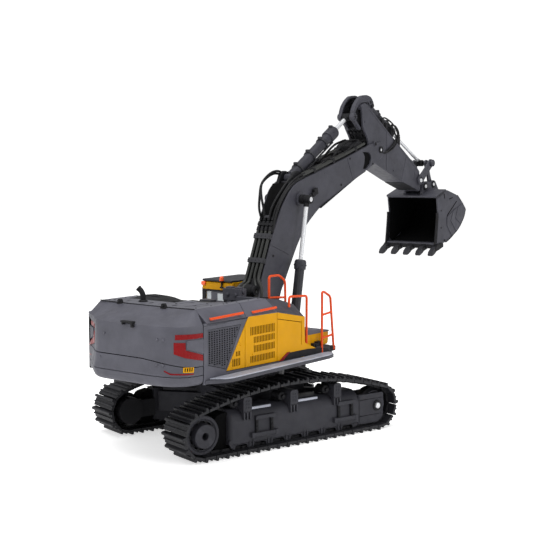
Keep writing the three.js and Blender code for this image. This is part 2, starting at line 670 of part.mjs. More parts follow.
function ramBarrel(ram) {
  const { base, y, length, radius, eye, width } = ram;
  const at = alongRam(ram);
  const body = join(
    pinY(base, y - width / 2, y + width / 2, eye),
    rod(at(0), at(eye + 5), width * 0.46),
    rod(at(eye + 3), at(length), radius),
    rod(at(length - 12), at(length), radius * 1.2));
  return cut(body,
    rod(at(eye + 7), at(length + 1), radius * 0.62, 10),
    pinY(base, y - width, y + width, 2, 8));
}

function ramRod(ram) {
  const { base, pin, y, start, radius, eye, width, piston } = ram;
  const at = alongRam(ram);
  return join(
    rod(at(start), at(start + 4), piston, 10),
    rod(at(start + 3), at(distance(base, pin)), radius, 10),
    pinY(pin, y - width / 2, y + width / 2, eye));
}

const liftLine = { base: LIFT_BASE, pin: BOOM_PIN, y: LIFT_Y };
const stickLine = { base: STICK_RAM_BASE, pin: STICK_RAM_PIN, y: 0 };
const bucketLine = { base: BUCKET_RAM_BASE, pin: ROCKER_TOP, y: 0 };
const liftBarrel = { ...liftLine, length: 106, radius: 6.3, eye: 6, width: 6 };
const liftRod = { ...liftLine, start: 98, radius: 2.9, eye: 5.6, width: 7, piston: 3.4 };
const stickBarrel = { ...stickLine, length: 124, radius: 7, eye: 6, width: 12 };
const stickRod = { ...stickLine, start: 56, radius: 2.9, eye: 5.2, width: 12, piston: 3.7 };
const bucketBarrel = { ...bucketLine, length: 92, radius: 6, eye: 5.5, width: 11 };
const bucketRod = { ...bucketLine, start: 62, radius: 2.5, eye: 5, width: 10, piston: 3.1 };

// ---------------------------------------------------------------- stick
function stick() {
  const outline = [
    [266, 352], [284, 342], [352, 318.5], [405, 301.5], ...arcPoints(BUCKET_PIVOT, 8.4, -100, 60, 6),
    [400, 340], [365, 361], [323.5, 386], [284, 411.5], [253, 430], [241, 425], [246, 392], [261, 378.5]];
  const noseRelief = [[414, 290], [460, 290], [460, 335], [409, 335]];
  const body = slabY(outline, -STICK_HALF, STICK_HALF);
  const relief = [[12.6, 20], [-20, -12.6]].map(([y0, y1]) => slabY(noseRelief, y0, y1));
  const horn = [
    [244, 396], [238, 400], ...arcPoints(STICK_RAM_PIN, 8, -110, -200, 4),
    [225, 424], [236, 434], [250, 440], [264, 441], [276, 438], [282, 430], [280, 410]];
  const horns = [[6.9, 10.6], [-10.6, -6.9]].map(([y0, y1]) => slabY(horn, y0, y1));
  const ramSlot = slabY(
    [[200, 380], [252, 380], [262, 402], [296, 402], [296, 460], [200, 460]], -6.9, 6.9);
  const ramTrough = slabY(
    [[255, 400], [262, 400], [330, 372], [345, 380], [300, 440], [255, 440]], -6.9, 6.9);
  return cut(join(cut(body, relief), horns), ramSlot, ramTrough,
    pinY(STICK_PIVOT, -30, 30, AXLE_R + PIN_CLEARANCE),
    pinY(BUCKET_PIVOT, -30, 30, 3 + PIN_CLEARANCE),
    pinY(ROCKER_PIVOT, -30, 30, 3 + PIN_CLEARANCE),
    pinY(BUCKET_RAM_BASE, -12, 12, 2));
}

// ---------------------------------------------------------------- bucket and its linkage
function rocker() {
  const plates = [[17.2, 20.2], [-20.2, -17.2]].map(([y0, y1]) => linkPlate(
    ROCKER_PIVOT, ROCKER_TOP, 6.5, 5.5, y0, y1));
  const stubs = [[9, 18], [-18, -9]].map(([y0, y1]) => pinY(ROCKER_TOP, y0, y1, 2.5, 12));
  return join(plates, pinY(ROCKER_PIVOT, -19, 19, 3), stubs);
}

function tippingLink() {
  const plates = [[9, 12.4], [-12.4, -9]].map(([y0, y1]) => linkPlate(
    ROCKER_TOP, LINK_FOOT, 5, 5, y0, y1));
  return cut(join(plates, pinY(LINK_FOOT, -12, 12, 3, 12)), pinY(ROCKER_TOP, -14, 14, 2.9, 12));
}

function bucket() {
  const outer = [
    [414.6, 292.6], [415.2, 290], [421, 290.5], [430, 266], [421, 223], [415, 216], [429, 217],
    [458, 226], [489, 242], [506, 260], [510, 272], [500, 281.5], [483, 294], [443.5, 303]];
  const inner = [
    [405, 286], [421, 288.6], [443.5, 299.8], [482, 291], [498, 279.5], [506.6, 271.6],
    [503.2, 261.5], [487.2, 244.4], [456.8, 228.8], [429, 220], [405, 217.8]];
  const shell = cut(
    slabY(outer, -BUCKET_HALF, BUCKET_HALF),
    slabY(inner, -BUCKET_HALF + 2.5, BUCKET_HALF - 2.5));
  const tooth = [[433, 219.6], [412, 217.8], [396, 203.4], [399, 202.6], [418, 211.6], [434, 216.6]];
  const pitch = (2 * BUCKET_HALF - 7) / 4;
  const teeth = Array.from({ length: 5 }, (_, i) => {
    const y = -BUCKET_HALF + 3.5 + i * pitch;
    return slabY(tooth, y - 3.4, y + 3.4);
  });
  const ear = [[418, 296], [424, 316], [433, 317], [450, 319], [459, 317], [476, 297], [444, 300]];
  const ears = [[13, 16.8], [-16.8, -13]].map(([y0, y1]) => join(
    slabY(ear, y0, y1), pinY(BUCKET_PIVOT, y0, y1, 7), pinY(LINK_FOOT, y0, y1, 6.5)));
  return join(shell, teeth, ears, pinY(BUCKET_PIVOT, -17.6, 17.6, 3));
}

// ---------------------------------------------------------------- assembly
const machine = new THREE.Group();
const upper = new THREE.Group();
machine.add(
  ...pair("track", track(), "track"),
  ...pair("side_frame", sideFrame(), "frame"),
  ...pair("roller_bank", rollerBank(), "black"),
  ...pair("sprocket", sprocket(), "black"),
  ...pair("drive_motor", driveMotor(), "frame"),
  ...pair("idler", idler(), "black"),
  ...pair("idler_yoke", idlerYoke(), "frame"),
  mesh("centre_frame", centreFrame(), "frame"),
  mesh("belly_cover", bellyCover(), "frame"),
  mesh("swing_ring", swingRing(), "steel"),
  upper);

upper.rotation.z = SWING;
upper.add(
  mesh("upper_frame", upperFrame(), "frame"),
  mesh("swing_motor", swingMotor(), "steel"),
  mesh("swing_pinion", swingPinion(), "steel"),
  mesh("counterweight", counterweight(), "slate"),
  mesh("deck_cover", deckCover(), "slate"),
  mesh("engine_hood", engineHood(), "black"),
  mesh("side_panel_right", sidePanel(-BODY_Y, -BODY_Y + SKIN), "slate"),
  mesh("grille_right", grille(-BODY_Y + 0.3, -BODY_Y + SKIN), "black"),
  mesh("yellow_panel_right",
    join(yellowPanel(-BODY_Y, -BODY_Y + SKIN, TANK_FRONT_X), tankFront()), "yellow"),
  mesh("side_panel_left", sidePanel(BODY_Y - SKIN, BODY_Y), "slate"),
  mesh("grille_left", grille(BODY_Y - SKIN, BODY_Y - 0.3), "black"),
  mesh("yellow_panel_left", yellowPanel(BODY_Y - SKIN, BODY_Y, DECK_FRONT_X), "yellow"),
  mesh("tank_cover", tankCover(), "slate"),
  mesh("front_box", frontBox(), "yellow"),
  mesh("step_right", step(-1), "tread"),
  mesh("step_left", step(1), "tread"),
  mesh("deck_rail_rear", deckRail(-182.6, -120, -1), "orange"),
  mesh("deck_rail_front", deckRail(-107.4, -57.3, -1), "orange"),
  mesh("handrail_inner", handrailInner(), "orange"),
  mesh("handrail_outer", handrailOuter(), "orange"),
  mesh("handrail_front", handrailFront(), "orange"),
  mesh("exhaust_stack", exhaustStack(), "black"),
  mesh("cab_shell", cabShell(), "yellow"),
  mesh("cab_roof", cabRoof(), "black"),
  mesh("cab_door", cabDoor(), "yellow"),
  mesh("battery", battery(), "black"),
  mesh("control_board", controlBoard(), "circuit"),
  mesh("power_switch", powerSwitch(), "black"),
  mesh("boom_foot_pin", boomFootPin(), "steel"),
  mesh("boom", boom(), "slate"),
  ...pair("lift_barrel", ramBarrel(liftBarrel), "slate"),
  ...pair("lift_rod", ramRod(liftRod), "chrome"),
  mesh("stick_pin", stickPin(), "steel"),
  mesh("stick_barrel", ramBarrel(stickBarrel), "slate"),
  mesh("stick_rod", ramRod(stickRod), "chrome"),
  mesh("stick", stick(), "slate"),
  mesh("bucket_barrel", ramBarrel(bucketBarrel), "slate"),
  mesh("bucket_rod", ramRod(bucketRod), "chrome"),
  mesh("rocker", rocker(), "slate"),
  mesh("tipping_link", tippingLink(), "slate"),
  mesh("bucket", bucket(), "slate"));
machine.position.z = -BELLY_Z;
machine.updateMatrixWorld(true);

export default machine;
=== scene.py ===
"""Looks of a radio controlled tracked excavator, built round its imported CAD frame."""
import math

import bmesh
import bpy
from mathutils import Matrix, Vector


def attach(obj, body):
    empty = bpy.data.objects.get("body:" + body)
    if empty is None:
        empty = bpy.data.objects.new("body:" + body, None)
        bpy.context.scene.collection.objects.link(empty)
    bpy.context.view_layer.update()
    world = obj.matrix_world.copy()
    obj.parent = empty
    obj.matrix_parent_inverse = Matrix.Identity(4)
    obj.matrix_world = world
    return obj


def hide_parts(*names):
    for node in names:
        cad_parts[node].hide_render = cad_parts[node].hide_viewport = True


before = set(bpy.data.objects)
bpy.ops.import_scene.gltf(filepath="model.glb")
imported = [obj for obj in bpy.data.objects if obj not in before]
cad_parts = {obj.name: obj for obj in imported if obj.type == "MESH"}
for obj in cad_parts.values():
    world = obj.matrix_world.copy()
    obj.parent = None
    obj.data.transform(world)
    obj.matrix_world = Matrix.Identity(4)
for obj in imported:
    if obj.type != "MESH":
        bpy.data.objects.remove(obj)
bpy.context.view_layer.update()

# ------------------------------------------------------------------ frames of reference
# Shapes are written in millimetres with heights from the ground; the row frame is in metres
# and starts BELLY_Z above the ground.
MM = 0.001
BELLY_Z = 30.0
SWING = math.radians(15.46)
GROUND = Matrix.Scale(MM, 4) @ Matrix.Translation((0, 0, -BELLY_Z))
UPPER = GROUND @ Matrix.Rotation(SWING, 4, "Z")
MIRROR = Matrix.Scale(-1, 4, (0, 1, 0))
Y_AXIS = Vector((0, 1, 0))

# undercarriage
TRACK_Y = 84.5
SHOE_WIDTH = 46.0
SHOE_COUNT = 48
SPROCKET = (-136.0, 31.0)
IDLER = (135.0, 31.0)
SHOE_R = 26.5
TOP_RUN_Z = 78.0
SKIRT_Y = 100.0

# upper structure
BODY_Y = 91.0
DECK_Y = 75.0
CHAMFER_Z = 166.3
DECK_Z = 180.0
SEAM_X = -190.6
PANEL_Z0 = 98.0
CAB_BOX = (18.0, 106.0, 38.0, 90.4)
CAB_FLOOR = 101.3
CAB_TOP = 186.0

# front linkage pivots, [x, z]
BOOM_FOOT = (8.0, 125.0)
BOOM_PIN = (90.0, 295.5)
LIFT_BASE = (58.0, 112.0)
LIFT_Y = 30.0
STICK_PIVOT = (291.0, 363.5)
STICK_RAM_BASE = (92.0, 323.0)
STICK_RAM_PIN = (230.4, 409.5)
BUCKET_RAM_BASE = (272.0, 432.0)
ROCKER_PIVOT = (408.5, 318.0)
ROCKER_TOP = (441.0, 345.0)
BUCKET_PIVOT = (428.5, 308.5)
LINK_FOOT = (454.0, 311.5)
BOOM_HALF = 19.0
STICK_HALF = 16.6
BUCKET_HALF = 45.0


# ------------------------------------------------------------------ materials
def linear(rgb):
    """An sRGB colour of 0 to 255 as the linear RGBA that a node takes."""
    return tuple((c / 255 / 12.92) if c <= 10 else ((c / 255 + 0.055) / 1.055) ** 2.4 for c in rgb) + (1.0,)


def material(name, rgb, rough, metal=0.0, grain=0.25, grain_scale=1400.0, vary=0.12, wear=0.25,
             coat=0.0, brushed=False, gloss=0.35):
    """Procedural paint, plastic or metal: cloudy colour, uneven gloss, fine grain, paler edges as a painted
    highlight.
    """
    mat = bpy.data.materials.new(name)
    mat.use_nodes = True
    nodes, links = mat.node_tree.nodes, mat.node_tree.links
    bsdf = nodes["Principled BSDF"]
    coords = nodes.new("ShaderNodeTexCoord")
    where = coords.outputs["Object"]
    if brushed:
        stretch = nodes.new("ShaderNodeMapping")
        stretch.inputs["Scale"].default_value = (1.0, 1.0, 14.0)
        links.new(where, stretch.inputs["Vector"])
        where = stretch.outputs["Vector"]

    def noise(scale, detail):
        node = nodes.new("ShaderNodeTexNoise")
        node.inputs["Scale"].default_value = scale
        node.inputs["Detail"].default_value = detail
        links.new(where, node.inputs["Vector"])
        return node.outputs["Fac"]

    def span(value, low, high, a=0.35, b=0.65):
        node = nodes.new("ShaderNodeMapRange")
        node.inputs["From Min"].default_value = a
        node.inputs["From Max"].default_value = b
        node.inputs["To Min"].default_value = low
        node.inputs["To Max"].default_value = high
        links.new(value, node.inputs["Value"])
        return node.outputs["Result"]

    base = linear(rgb)
    cloud = nodes.new("ShaderNodeMix")
    cloud.data_type = "RGBA"
    cloud.inputs[6].default_value = tuple(c * (1 - vary) for c in base[:3]) + (1.0,)
    cloud.inputs[7].default_value = tuple(min(1.0, c * (1 + vary)) for c in base[:3]) + (1.0,)
    links.new(span(noise(38.0, 5.0), 0.0, 1.0), cloud.inputs[0])
    colour = cloud.outputs[2]
    # Paler colour on pointy edges is a painted highlight; the wear argument sets how strong it is.
    if wear:
        geometry = nodes.new("ShaderNodeNewGeometry")
        edge_highlight_mix = nodes.new("ShaderNodeMix")
        edge_highlight_mix.data_type = "RGBA"
        edge_highlight_mix.inputs[7].default_value = tuple(min(1.0, c * 1.9 + 0.02) for c in base[:3]) + (1.0,)
        links.new(colour, edge_highlight_mix.inputs[6])
        links.new(span(geometry.outputs["Pointiness"], 0.0, wear, 0.53, 0.62), edge_highlight_mix.inputs[0])
        colour = edge_highlight_mix.outputs[2]
    links.new(colour, bsdf.inputs["Base Color"])
    links.new(span(noise(120.0, 3.0), max(0.03, rough - 0.07), min(1.0, rough + 0.07)),
              bsdf.inputs["Roughness"])
    bsdf.inputs["Metallic"].default_value = metal
    bsdf.inputs["Specular IOR Level"].default_value = gloss
    bsdf.inputs["Coat Weight"].default_value = coat
    bsdf.inputs["Coat Roughness"].default_value = 0.25
    bump = nodes.new("ShaderNodeBump")
    bump.inputs["Strength"].default_value = grain
    bump.inputs["Distance"].default_value = 0.00012
    links.new(noise(grain_scale, 2.0), bump.inputs["Height"])
    links.new(bump.outputs["Normal"], bsdf.inputs["Normal"])
    return mat


SLATE = material("slate_panel_finish", (78, 78, 87), 0.52)
# A paler copy of the slate: painted light for the lit deck top and its ribs, and a painted highlight on the
# idler rims.
SLATE_LIT = material("slate_lit_finish", (87, 87, 95), 0.54)
BOOM_GREY = material("boom_grey_finish", (59, 59, 67), 0.5)
RAM_GREY = material("ram_grey_finish", (46, 46, 53), 0.45, gloss=0.3)
DARK_GREY = material("dark_fitting_finish", (44, 44, 48), 0.55, gloss=0.25)
FRAME_GREY = material("frame_grey_finish", (46, 46, 52), 0.56, gloss=0.25)
BLACK = material("black_moulding_finish", (24, 24, 27), 0.6, gloss=0.2)
VOID = material("shadow_black_finish", (9, 9, 10), 0.85, wear=0.0, gloss=0.08)
TRACK = material("track_finish", (28, 28, 32), 0.5, grain=0.4, wear=0.6, gloss=0.28)
YELLOW = material("safety_yellow_finish", (207, 148, 0), 0.42, grain=0.12, vary=0.05, wear=0.05, gloss=0.12)
ORANGE = material("rail_orange_finish", (214, 70, 6), 0.42, grain=0.1, vary=0.06, wear=0.05, gloss=0.3)
RED = material("lamp_red_finish", (122, 0, 5), 0.3, grain=0.05, vary=0.08, wear=0.0, gloss=0.2)
AMBER = material("beacon_amber_finish", (255, 92, 14), 0.25, grain=0.05, vary=0.05, wear=0.0, coat=0.5,
                 gloss=0.5)
SILVER = material("tread_silver_finish", (160, 163, 174), 0.55, metal=0.0, grain=0.3, gloss=0.3)
CHROME = material("chrome_rod_finish", (226, 227, 230), 0.34, metal=0.55, grain=0.02, vary=0.03, wear=0.0,
                  gloss=0.5)
STEEL = material("bare_steel_finish", (150, 150, 155), 0.35, metal=0.9, brushed=True)
HOSE = material("hose_black_finish", (22, 22, 24), 0.48, grain=0.5, grain_scale=2600.0, wear=0.0, gloss=0.22)
PIPE = material("pipe_olive_grey_finish", (46, 47, 45), 0.42, grain=0.1, gloss=0.3)
BROWN = material("radiator_brown_finish", (36, 24, 8), 0.7, grain=0.6, wear=0.0, gloss=0.1)
GLASS = material("cab_glass_finish", (196, 202, 206), 0.12, grain=0.02, vary=0.04, wear=0.0, coat=0.6,
                 gloss=0.5)
SEAT = material("seat_cloth_finish", (40, 41, 46), 0.9, grain=0.9, grain_scale=3200.0, wear=0.0, gloss=0.2)
CIRCUIT = material("circuit_board_finish", (22, 92, 52), 0.5)

# The CAD's material slot that a finish stands for, where a piece names no other.
SLOT_FINISHES = {
    "slate_panel": (SLATE, SLATE_LIT),
    "boom_grey": (BOOM_GREY, RAM_GREY, PIPE),
    "frame_grey": (FRAME_GREY,),
    "black_plastic": (DARK_GREY, BLACK, VOID, RED, HOSE, BROWN, SEAT),
    "track_black": (TRACK,),
    "safety_yellow": (YELLOW, GLASS),
    "rail_orange": (ORANGE, AMBER),
    "tread_silver": (SILVER,),
    "bare_steel": (CHROME, STEEL),
}
USUAL_SLOT = {mat.name: slot for slot, finishes in SLOT_FINISHES.items() for mat in finishes}


# ------------------------------------------------------------------ closed shells
# A shell is (vertices, faces) in millimetres; a piece is one mesh of one or more shells.
def soften(points, radius, steps=4, closed=True):
    """Rounds the corners of an outline or a path; radius may be one value or one for each point."""
    points = [Vector(p) for p in points]
    count = len(points)
    radii = radius if isinstance(radius, (list, tuple)) else [radius] * count
    out = []
    for i, p in enumerate(points):
        ends = not closed and i in (0, count - 1)
        if radii[i] <= 0 or ends:
            out.append(tuple(p))
            continue
        a, b = points[i - 1], points[(i + 1) % count]
        reach = min(radii[i], (a - p).length * 0.48, (b - p).length * 0.48)
        start, end = p + (a - p).normalized() * reach, p + (b - p).normalized() * reach
        for k in range(steps + 1):
            t = k / steps
            out.append(tuple(start * (1 - t) ** 2 + p * 2 * t * (1 - t) + end * t ** 2))
    return out


PLACE = {
    "x": lambda a, b, c: (c, a, b),
    "y": lambda a, b, c: (a, c, b),
    "z": lambda a, b, c: (a, b, c),
}


def prism(outline, low, high, axis="y"):
    """A closed shell: an outline drawn out from low to high along an axis."""
    count = len(outline)
    place = PLACE[axis]
    vertices = [place(a, b, low) for a, b in outline] + [place(a, b, high) for a, b in outline]
    faces = [tuple(range(count)), tuple(range(count, 2 * count))]
    faces += [(i, (i + 1) % count, count + (i + 1) % count, count + i) for i in range(count)]
    return vertices, faces


def block(x0, x1, y0, y1, z0, z1):
    """A box between two corners, as a shell."""
    return prism([(x0, y0), (x1, y0), (x1, y1), (x0, y1)], z0, z1, "z")


def loft(rings):
    """Closed shell through rings that have the same number of points, with flat ends."""
    count = len(rings[0])
    vertices = [tuple(p) for ring in rings for p in ring]
    last = (len(rings) - 1) * count
    faces = [tuple(range(count)), tuple(range(last, last + count))]
    for k in range(len(rings) - 1):
        faces += [(k * count + i, k * count + (i + 1) % count,
                   (k + 1) * count + (i + 1) % count, (k + 1) * count + i) for i in range(count)]
    return vertices, faces


def lathe(profile, centre, axis, sides=24, ring=False):
    """Turns (along, radius) points about an axis; a ring profile closes on itself."""
    axis = Vector(axis).normalized()
    across = axis.orthogonal().normalized()
    third = axis.cross(across)
    rings = []
    for along, radius in profile:
        middle = Vector(centre) + axis * along
        rings.append([tuple(middle + (across * math.cos(a) + third * math.sin(a)) * radius)
                      for a in (2 * math.pi * i / sides for i in range(sides))])
    if not ring:
        return loft(rings)
    vertices = [p for r in rings for p in r]
    count = len(rings)
    faces = [(k * sides + i, k * sides + (i + 1) % sides,
              (k + 1) % count * sides + (i + 1) % sides, (k + 1) % count * sides + i)
             for k in range(count) for i in range(sides)]
    return vertices, faces


def disc_y(pivot, y0, y1, radius, sides=24, edge=0.0):
    """A round bar across the machine, with a small chamfer at both ends."""
    step = math.copysign(edge, y1 - y0)
    profile = [(y0, radius - edge), (y0 + step, radius), (y1 - step, radius), (y1, radius - edge)]
    if not edge:
        profile = [(y0, radius), (y1, radius)]
    return lathe(profile, (pivot[0], 0, pivot[1]), (0, 1, 0), sides)


def ring_y(pivot, profile, sides):
    """A closed ring about an axis across the machine; its profile is in (y, radius)."""
    return lathe(profile, (pivot[0], 0, pivot[1]), (0, 1, 0), sides, ring=True)


def bar(start, end, radius, sides=16, edge=0.0):
    """A round bar from start to end; edge chamfers its ends."""
    start, end = Vector(start), Vector(end)
    length = (end - start).length
    profile = [(0, radius - edge), (edge, radius), (length - edge, radius), (length, radius - edge)]
    if not edge:
        profile = [(0, radius), (length, radius)]
    return lathe(profile, start, end - start, sides)


def tube(points, radius, sides=10, smooth=0):
    """A round bar along a path; smooth adds that many points between each two."""
    path = [Vector(p) for p in points]
    if smooth:
        path = spline(path, smooth)
    rings = []
    normal = (path[1] - path[0]).orthogonal().normalized()
    for i, p in enumerate(path):
        ahead = path[min(i + 1, len(path) - 1)] - path[max(i - 1, 0)]
        tangent = ahead.normalized()
        normal = (normal - tangent * normal.dot(tangent)).normalized()
        side = tangent.cross(normal)
        rings.append([tuple(p + (normal * math.cos(a) + side * math.sin(a)) * radius)
                      for a in (2 * math.pi * k / sides for k in range(sides))])
    return loft(rings)


def spline(path, steps):
    """Points of a smooth curve that passes through the path."""
    out = []
    for i in range(len(path) - 1):
        p0, p1 = path[max(i - 1, 0)], path[i]
        p2, p3 = path[i + 1], path[min(i + 2, len(path) - 1)]
        for k in range(steps):
            t = k / steps
            out.append(0.5 * ((2 * p1) + (p2 - p0) * t + (2 * p0 - 5 * p1 + 4 * p2 - p3) * t * t
                              + (3 * p1 - p0 - 3 * p2 + p3) * t ** 3))
    return out + [path[-1]]


def bolt(centre, axis, radius=1.4, height=0.9, sides=6):
    """A hexagonal head on a flat washer."""
    return [lathe([(0, radius * 1.35), (height * 0.25, radius * 1.35)], centre, axis, 12),
            lathe([(0, radius), (height * 0.8, radius), (height, radius * 0.8)], centre, axis, sides)]


def flat(shells):
    """The shells of nested lists, as one plain list."""
    out = []
    for item in shells:
        if isinstance(item, list):
            out += flat(item)
        else:
            out.append(item)
    return out


def mesh_of(name, shells, place):
    """A mesh of closed shells, placed by a matrix."""
    bm = bmesh.new()
    for vertices, faces in flat(shells):
        made = [bm.verts.new(place @ Vector(v)) for v in vertices]
        for face in faces:
            bm.faces.new([made[i] for i in face])
    bmesh.ops.recalc_face_normals(bm, faces=bm.faces)
    data = bpy.data.meshes.new(name)
    bm.to_mesh(data)
    bm.free()
    return data


def add_object(name, data):
    """An object that holds the data, linked into the scene."""
    obj = bpy.data.objects.new(name, data)
    bpy.context.scene.collection.objects.link(obj)
    return obj


def piece(name, shells, mat, body, place=UPPER, bevel=0.35, hides=(), slot=None, holes=(),
          segments=2, smooth=35, crossing=True):
    """One visible piece: shells joined in a mesh, holes cut, edges rounded, riding on a body."""
    data = mesh_of(name, shells, place)
    obj = add_object(name, data)
    data.materials.append(mat)
    if bevel:
        round_off = obj.modifiers.new("edges", "BEVEL")
        round_off.width = bevel * MM
        round_off.segments = segments
        round_off.limit_method = "ANGLE"
        round_off.angle_limit = math.radians(30)
    if holes:
        tool = add_object(name + "_tool", mesh_of(name + "_tool", holes, place))
        carve = obj.modifiers.new("holes", "BOOLEAN")
        carve.operation = "DIFFERENCE"
        carve.solver = "EXACT"
        carve.use_self = crossing
        carve.object = tool
        bpy.context.view_layer.update()
        graph = bpy.context.evaluated_depsgraph_get()
        baked = bpy.data.meshes.new_from_object(obj.evaluated_get(graph))
        obj.modifiers.clear()
        obj.data = baked
        bpy.data.objects.remove(tool)
        data = baked
    data.shade_smooth()
    data.set_sharp_from_angle(angle=math.radians(smooth))
    weigh = obj.modifiers.new("shading", "WEIGHTED_NORMAL")
    weigh.keep_sharp = True
    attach(obj, body)
    if hides:
        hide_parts(*hides)
    slot or USUAL_SLOT[mat.name]
    return obj


def carry(node, mat, bevel=0.3):
    """Keeps a CAD node, welded and with rounded edges, in a procedural finish."""
    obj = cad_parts[node]
    obj.data.materials.clear()
    obj.data.materials.append(mat)
    weld = obj.modifiers.new("weld", "WELD")
    weld.merge_threshold = 0.00002
    tidy = obj.modifiers.new("flats", "DECIMATE")
    tidy.decimate_type = "DISSOLVE"
    tidy.angle_limit = math.radians(2)
    if bevel:
        round_off = obj.modifiers.new("edges", "BEVEL")
        round_off.width = bevel * MM
        round_off.segments = 2
        round_off.limit_method = "ANGLE"
        round_off.angle_limit = math.radians(35)
    shade = obj.modifiers.new("shading", "WEIGHTED_NORMAL")
    shade.keep_sharp = True


SIDES = (("left", GROUND, UPPER), ("right", GROUND @ MIRROR, UPPER @ MIRROR))


# ------------------------------------------------------------------ tracks
def track_path():
    """Points and tangents of the track loop at each shoe's middle, and the pitch."""
    middle = (SPROCKET[0] + IDLER[0]) / 2
    half = (IDLER[0] - SPROCKET[0]) / 2
    rise = TOP_RUN_Z - SHOE_R
    axle_z = SPROCKET[1]
    arc_z = (rise ** 2 - half ** 2 - axle_z ** 2) / (2 * (rise - axle_z))
    lean = math.atan2(axle_z - arc_z, half)
    top_r = TOP_RUN_Z - arc_z
    runs = [
        (2 * half, None),
        (SHOE_R * (math.pi / 2 + lean), (IDLER[0], axle_z, SHOE_R, -math.pi / 2)),
        (top_r * (math.pi - 2 * lean), (middle, arc_z, top_r, lean)),
        (SHOE_R * (math.pi / 2 + lean), (SPROCKET[0], axle_z, SHOE_R, math.pi - lean)),
    ]
    total = sum(length for length, _ in runs)

    def at(distance):
        distance %= total
        for length, arc in runs:
            if distance <= length:
                break
            distance -= length
        if arc is None:
            return Vector((SPROCKET[0] + distance, axle_z - SHOE_R)), Vector((1, 0))
        x, z, radius, start = arc
        angle = start + distance / radius
        return (Vector((x + radius * math.cos(angle), z + radius * math.sin(angle))),
                Vector((-math.sin(angle), math.cos(angle))))
    pitch = total / SHOE_COUNT
    return [at((i + 0.5) * pitch) for i in range(SHOE_COUNT)], [at(i * pitch)
                                                                for i in range(SHOE_COUNT)], pitch


def on_track(station, outline):
    """An outline in [along, outward] set at a station of the loop, as [x, z]."""
    (x, z), (tx, tz) = station
    return [(x + a * tx + out * tz, z + a * tz - out * tx) for a, out in outline]


def track_shoes():
    """Grouser shoes, one at each station of the belt."""
    stations, _, pitch = track_path()
    half = (pitch - 1.0) / 2
    section = [(-half, -2), (half, -2), (half, 1.3), (2.9, 1.3), (2.4, 3.1), (1.1, 3.1), (0.7, 1.3),
               (-half + 3.7, 1.3), (-half + 3.1, 4.5), (-half + 0.7, 4.5), (-half, 3.6)]
    end = SHOE_WIDTH / 2
    shells = []
    for station in stations:
        rings = []
        for y, tall in ((-end, 0.8), (-end + 0.5, 1), (end - 0.5, 1), (end, 0.8)):
            rim = [(a, out * tall if out > 0 else out) for a, out in section]
            rings.append([(x, TRACK_Y + y, z) for x, z in on_track(station, rim)])
        shells.append(loft(rings))
    return shells


def track_links():
    """The chain under the shoes: staggered link plates, joint pins and webs."""
    stations, joints, pitch = track_path()
    plate = soften([(-pitch * 0.62, -1.9), (pitch * 0.5, -1.9), (pitch * 0.5, -4.4), (pitch * 0.1, -5.0),
                    (-pitch * 0.62, -4.4)], 1.4, 2)
    shells = []
    for i, station in enumerate(stations):
        inset = 0 if i % 2 else 1.3
        for low, high in ((9.3, 10.6), (-10.6, -9.3)):
            shift = inset if low > 0 else -inset
            shells.append(prism(on_track(station, plate), TRACK_Y + low + shift, TRACK_Y + high + shift))
    for (x, z), (tx, tz) in joints:
        centre = (x - 3.0 * tz, z + 3.0 * tx)
        shells.append(disc_y(centre, TRACK_Y - 13, TRACK_Y + 13, 1.1, 8))
    for station in stations:
        web = [(-pitch * 0.42, -2.0), (pitch * 0.42, -2.0), (pitch * 0.42, -3.4), (-pitch * 0.42, -3.4)]
        shells.append(prism(on_track(station, web), TRACK_Y - 9.3, TRACK_Y + 9.3))
    return shells


# ------------------------------------------------------------------ wheels
def sprocket_parts():
    """Shells of the toothed wheel with its lobes, and of the hub with its rim."""
    x, z = SPROCKET
    teeth = []
    count = 14
    for i in range(count):
        for angle, radius in ((-0.15, 18.8), (-0.07, 22.0), (0.07, 22.0), (0.15, 18.8)):
            a = 2 * math.pi * i / count + angle
            teeth.append((x + radius * math.cos(a), z + radius * math.sin(a)))
    face = TRACK_Y + 17
    wheel = [prism(teeth, TRACK_Y - 4, TRACK_Y + 4), disc_y(SPROCKET, TRACK_Y - 6, face - 5, 18.6, 40, 0.6)]
    rim = ring_y((x, z), [(face - 5.5, 17), (face - 5.5, 23), (face - 0.8, 23), (face, 22.2), (face, 19.4),
                 (face - 1.6, 18.2), (face - 1.6, 17)], 48)
    lobes = []
    for i in range(10):
        a = 2 * math.pi * i / 10
        lobes.append(disc_y((x + 16.6 * math.cos(a), z + 16.6 * math.sin(a)), face - 6, face - 1.4, 2.1, 12,
                            0.4))
    hub = ring_y((x, z), [(face - 6, 4.2), (face - 6, 14.6), (107.0, 14.0), (107.5, 13.4), (107.5, 4.8),
                          (107.0, 4.2)], 44)
    return wheel + lobes, [hub, rim]


def idler_parts():
    """Shells of the idler: rim, web, boss and spokes."""
    x, z = IDLER
    rim = ring_y((x, z), [(TRACK_Y - 8.4, 12), (TRACK_Y - 8.4, 18), (TRACK_Y - 5.6, 21.2),
                          (TRACK_Y - 5.6, 22.2), (TRACK_Y + 5.6, 22.2), (TRACK_Y + 5.6, 21.2),
                          (TRACK_Y + 8.4, 18), (TRACK_Y + 8.4, 15.5), (TRACK_Y + 5, 14.4), (TRACK_Y + 4, 12)],
                 48)
    web = ring_y((x, z), [(TRACK_Y - 2.4, 4.6), (TRACK_Y - 2.4, 12.4), (TRACK_Y + 2.4, 12.4),
                          (TRACK_Y + 2.4, 4.6)], 40)
    ribs = []
    for i in range(8):
        a = 2 * math.pi * i / 8
        end = (x + 13.6 * math.cos(a), TRACK_Y, z + 13.6 * math.sin(a))
        start = (x + 6.2 * math.cos(a), TRACK_Y, z + 6.2 * math.sin(a))
        ribs.append(bar(start, end, 2.9, 8))
    boss = ring_y((x, z), [(TRACK_Y - 8.8, 4.6), (TRACK_Y - 8.8, 7), (TRACK_Y + 8.8, 7),
                           (TRACK_Y + 8.8, 4.6)], 28)
    return [rim, web, boss] + ribs


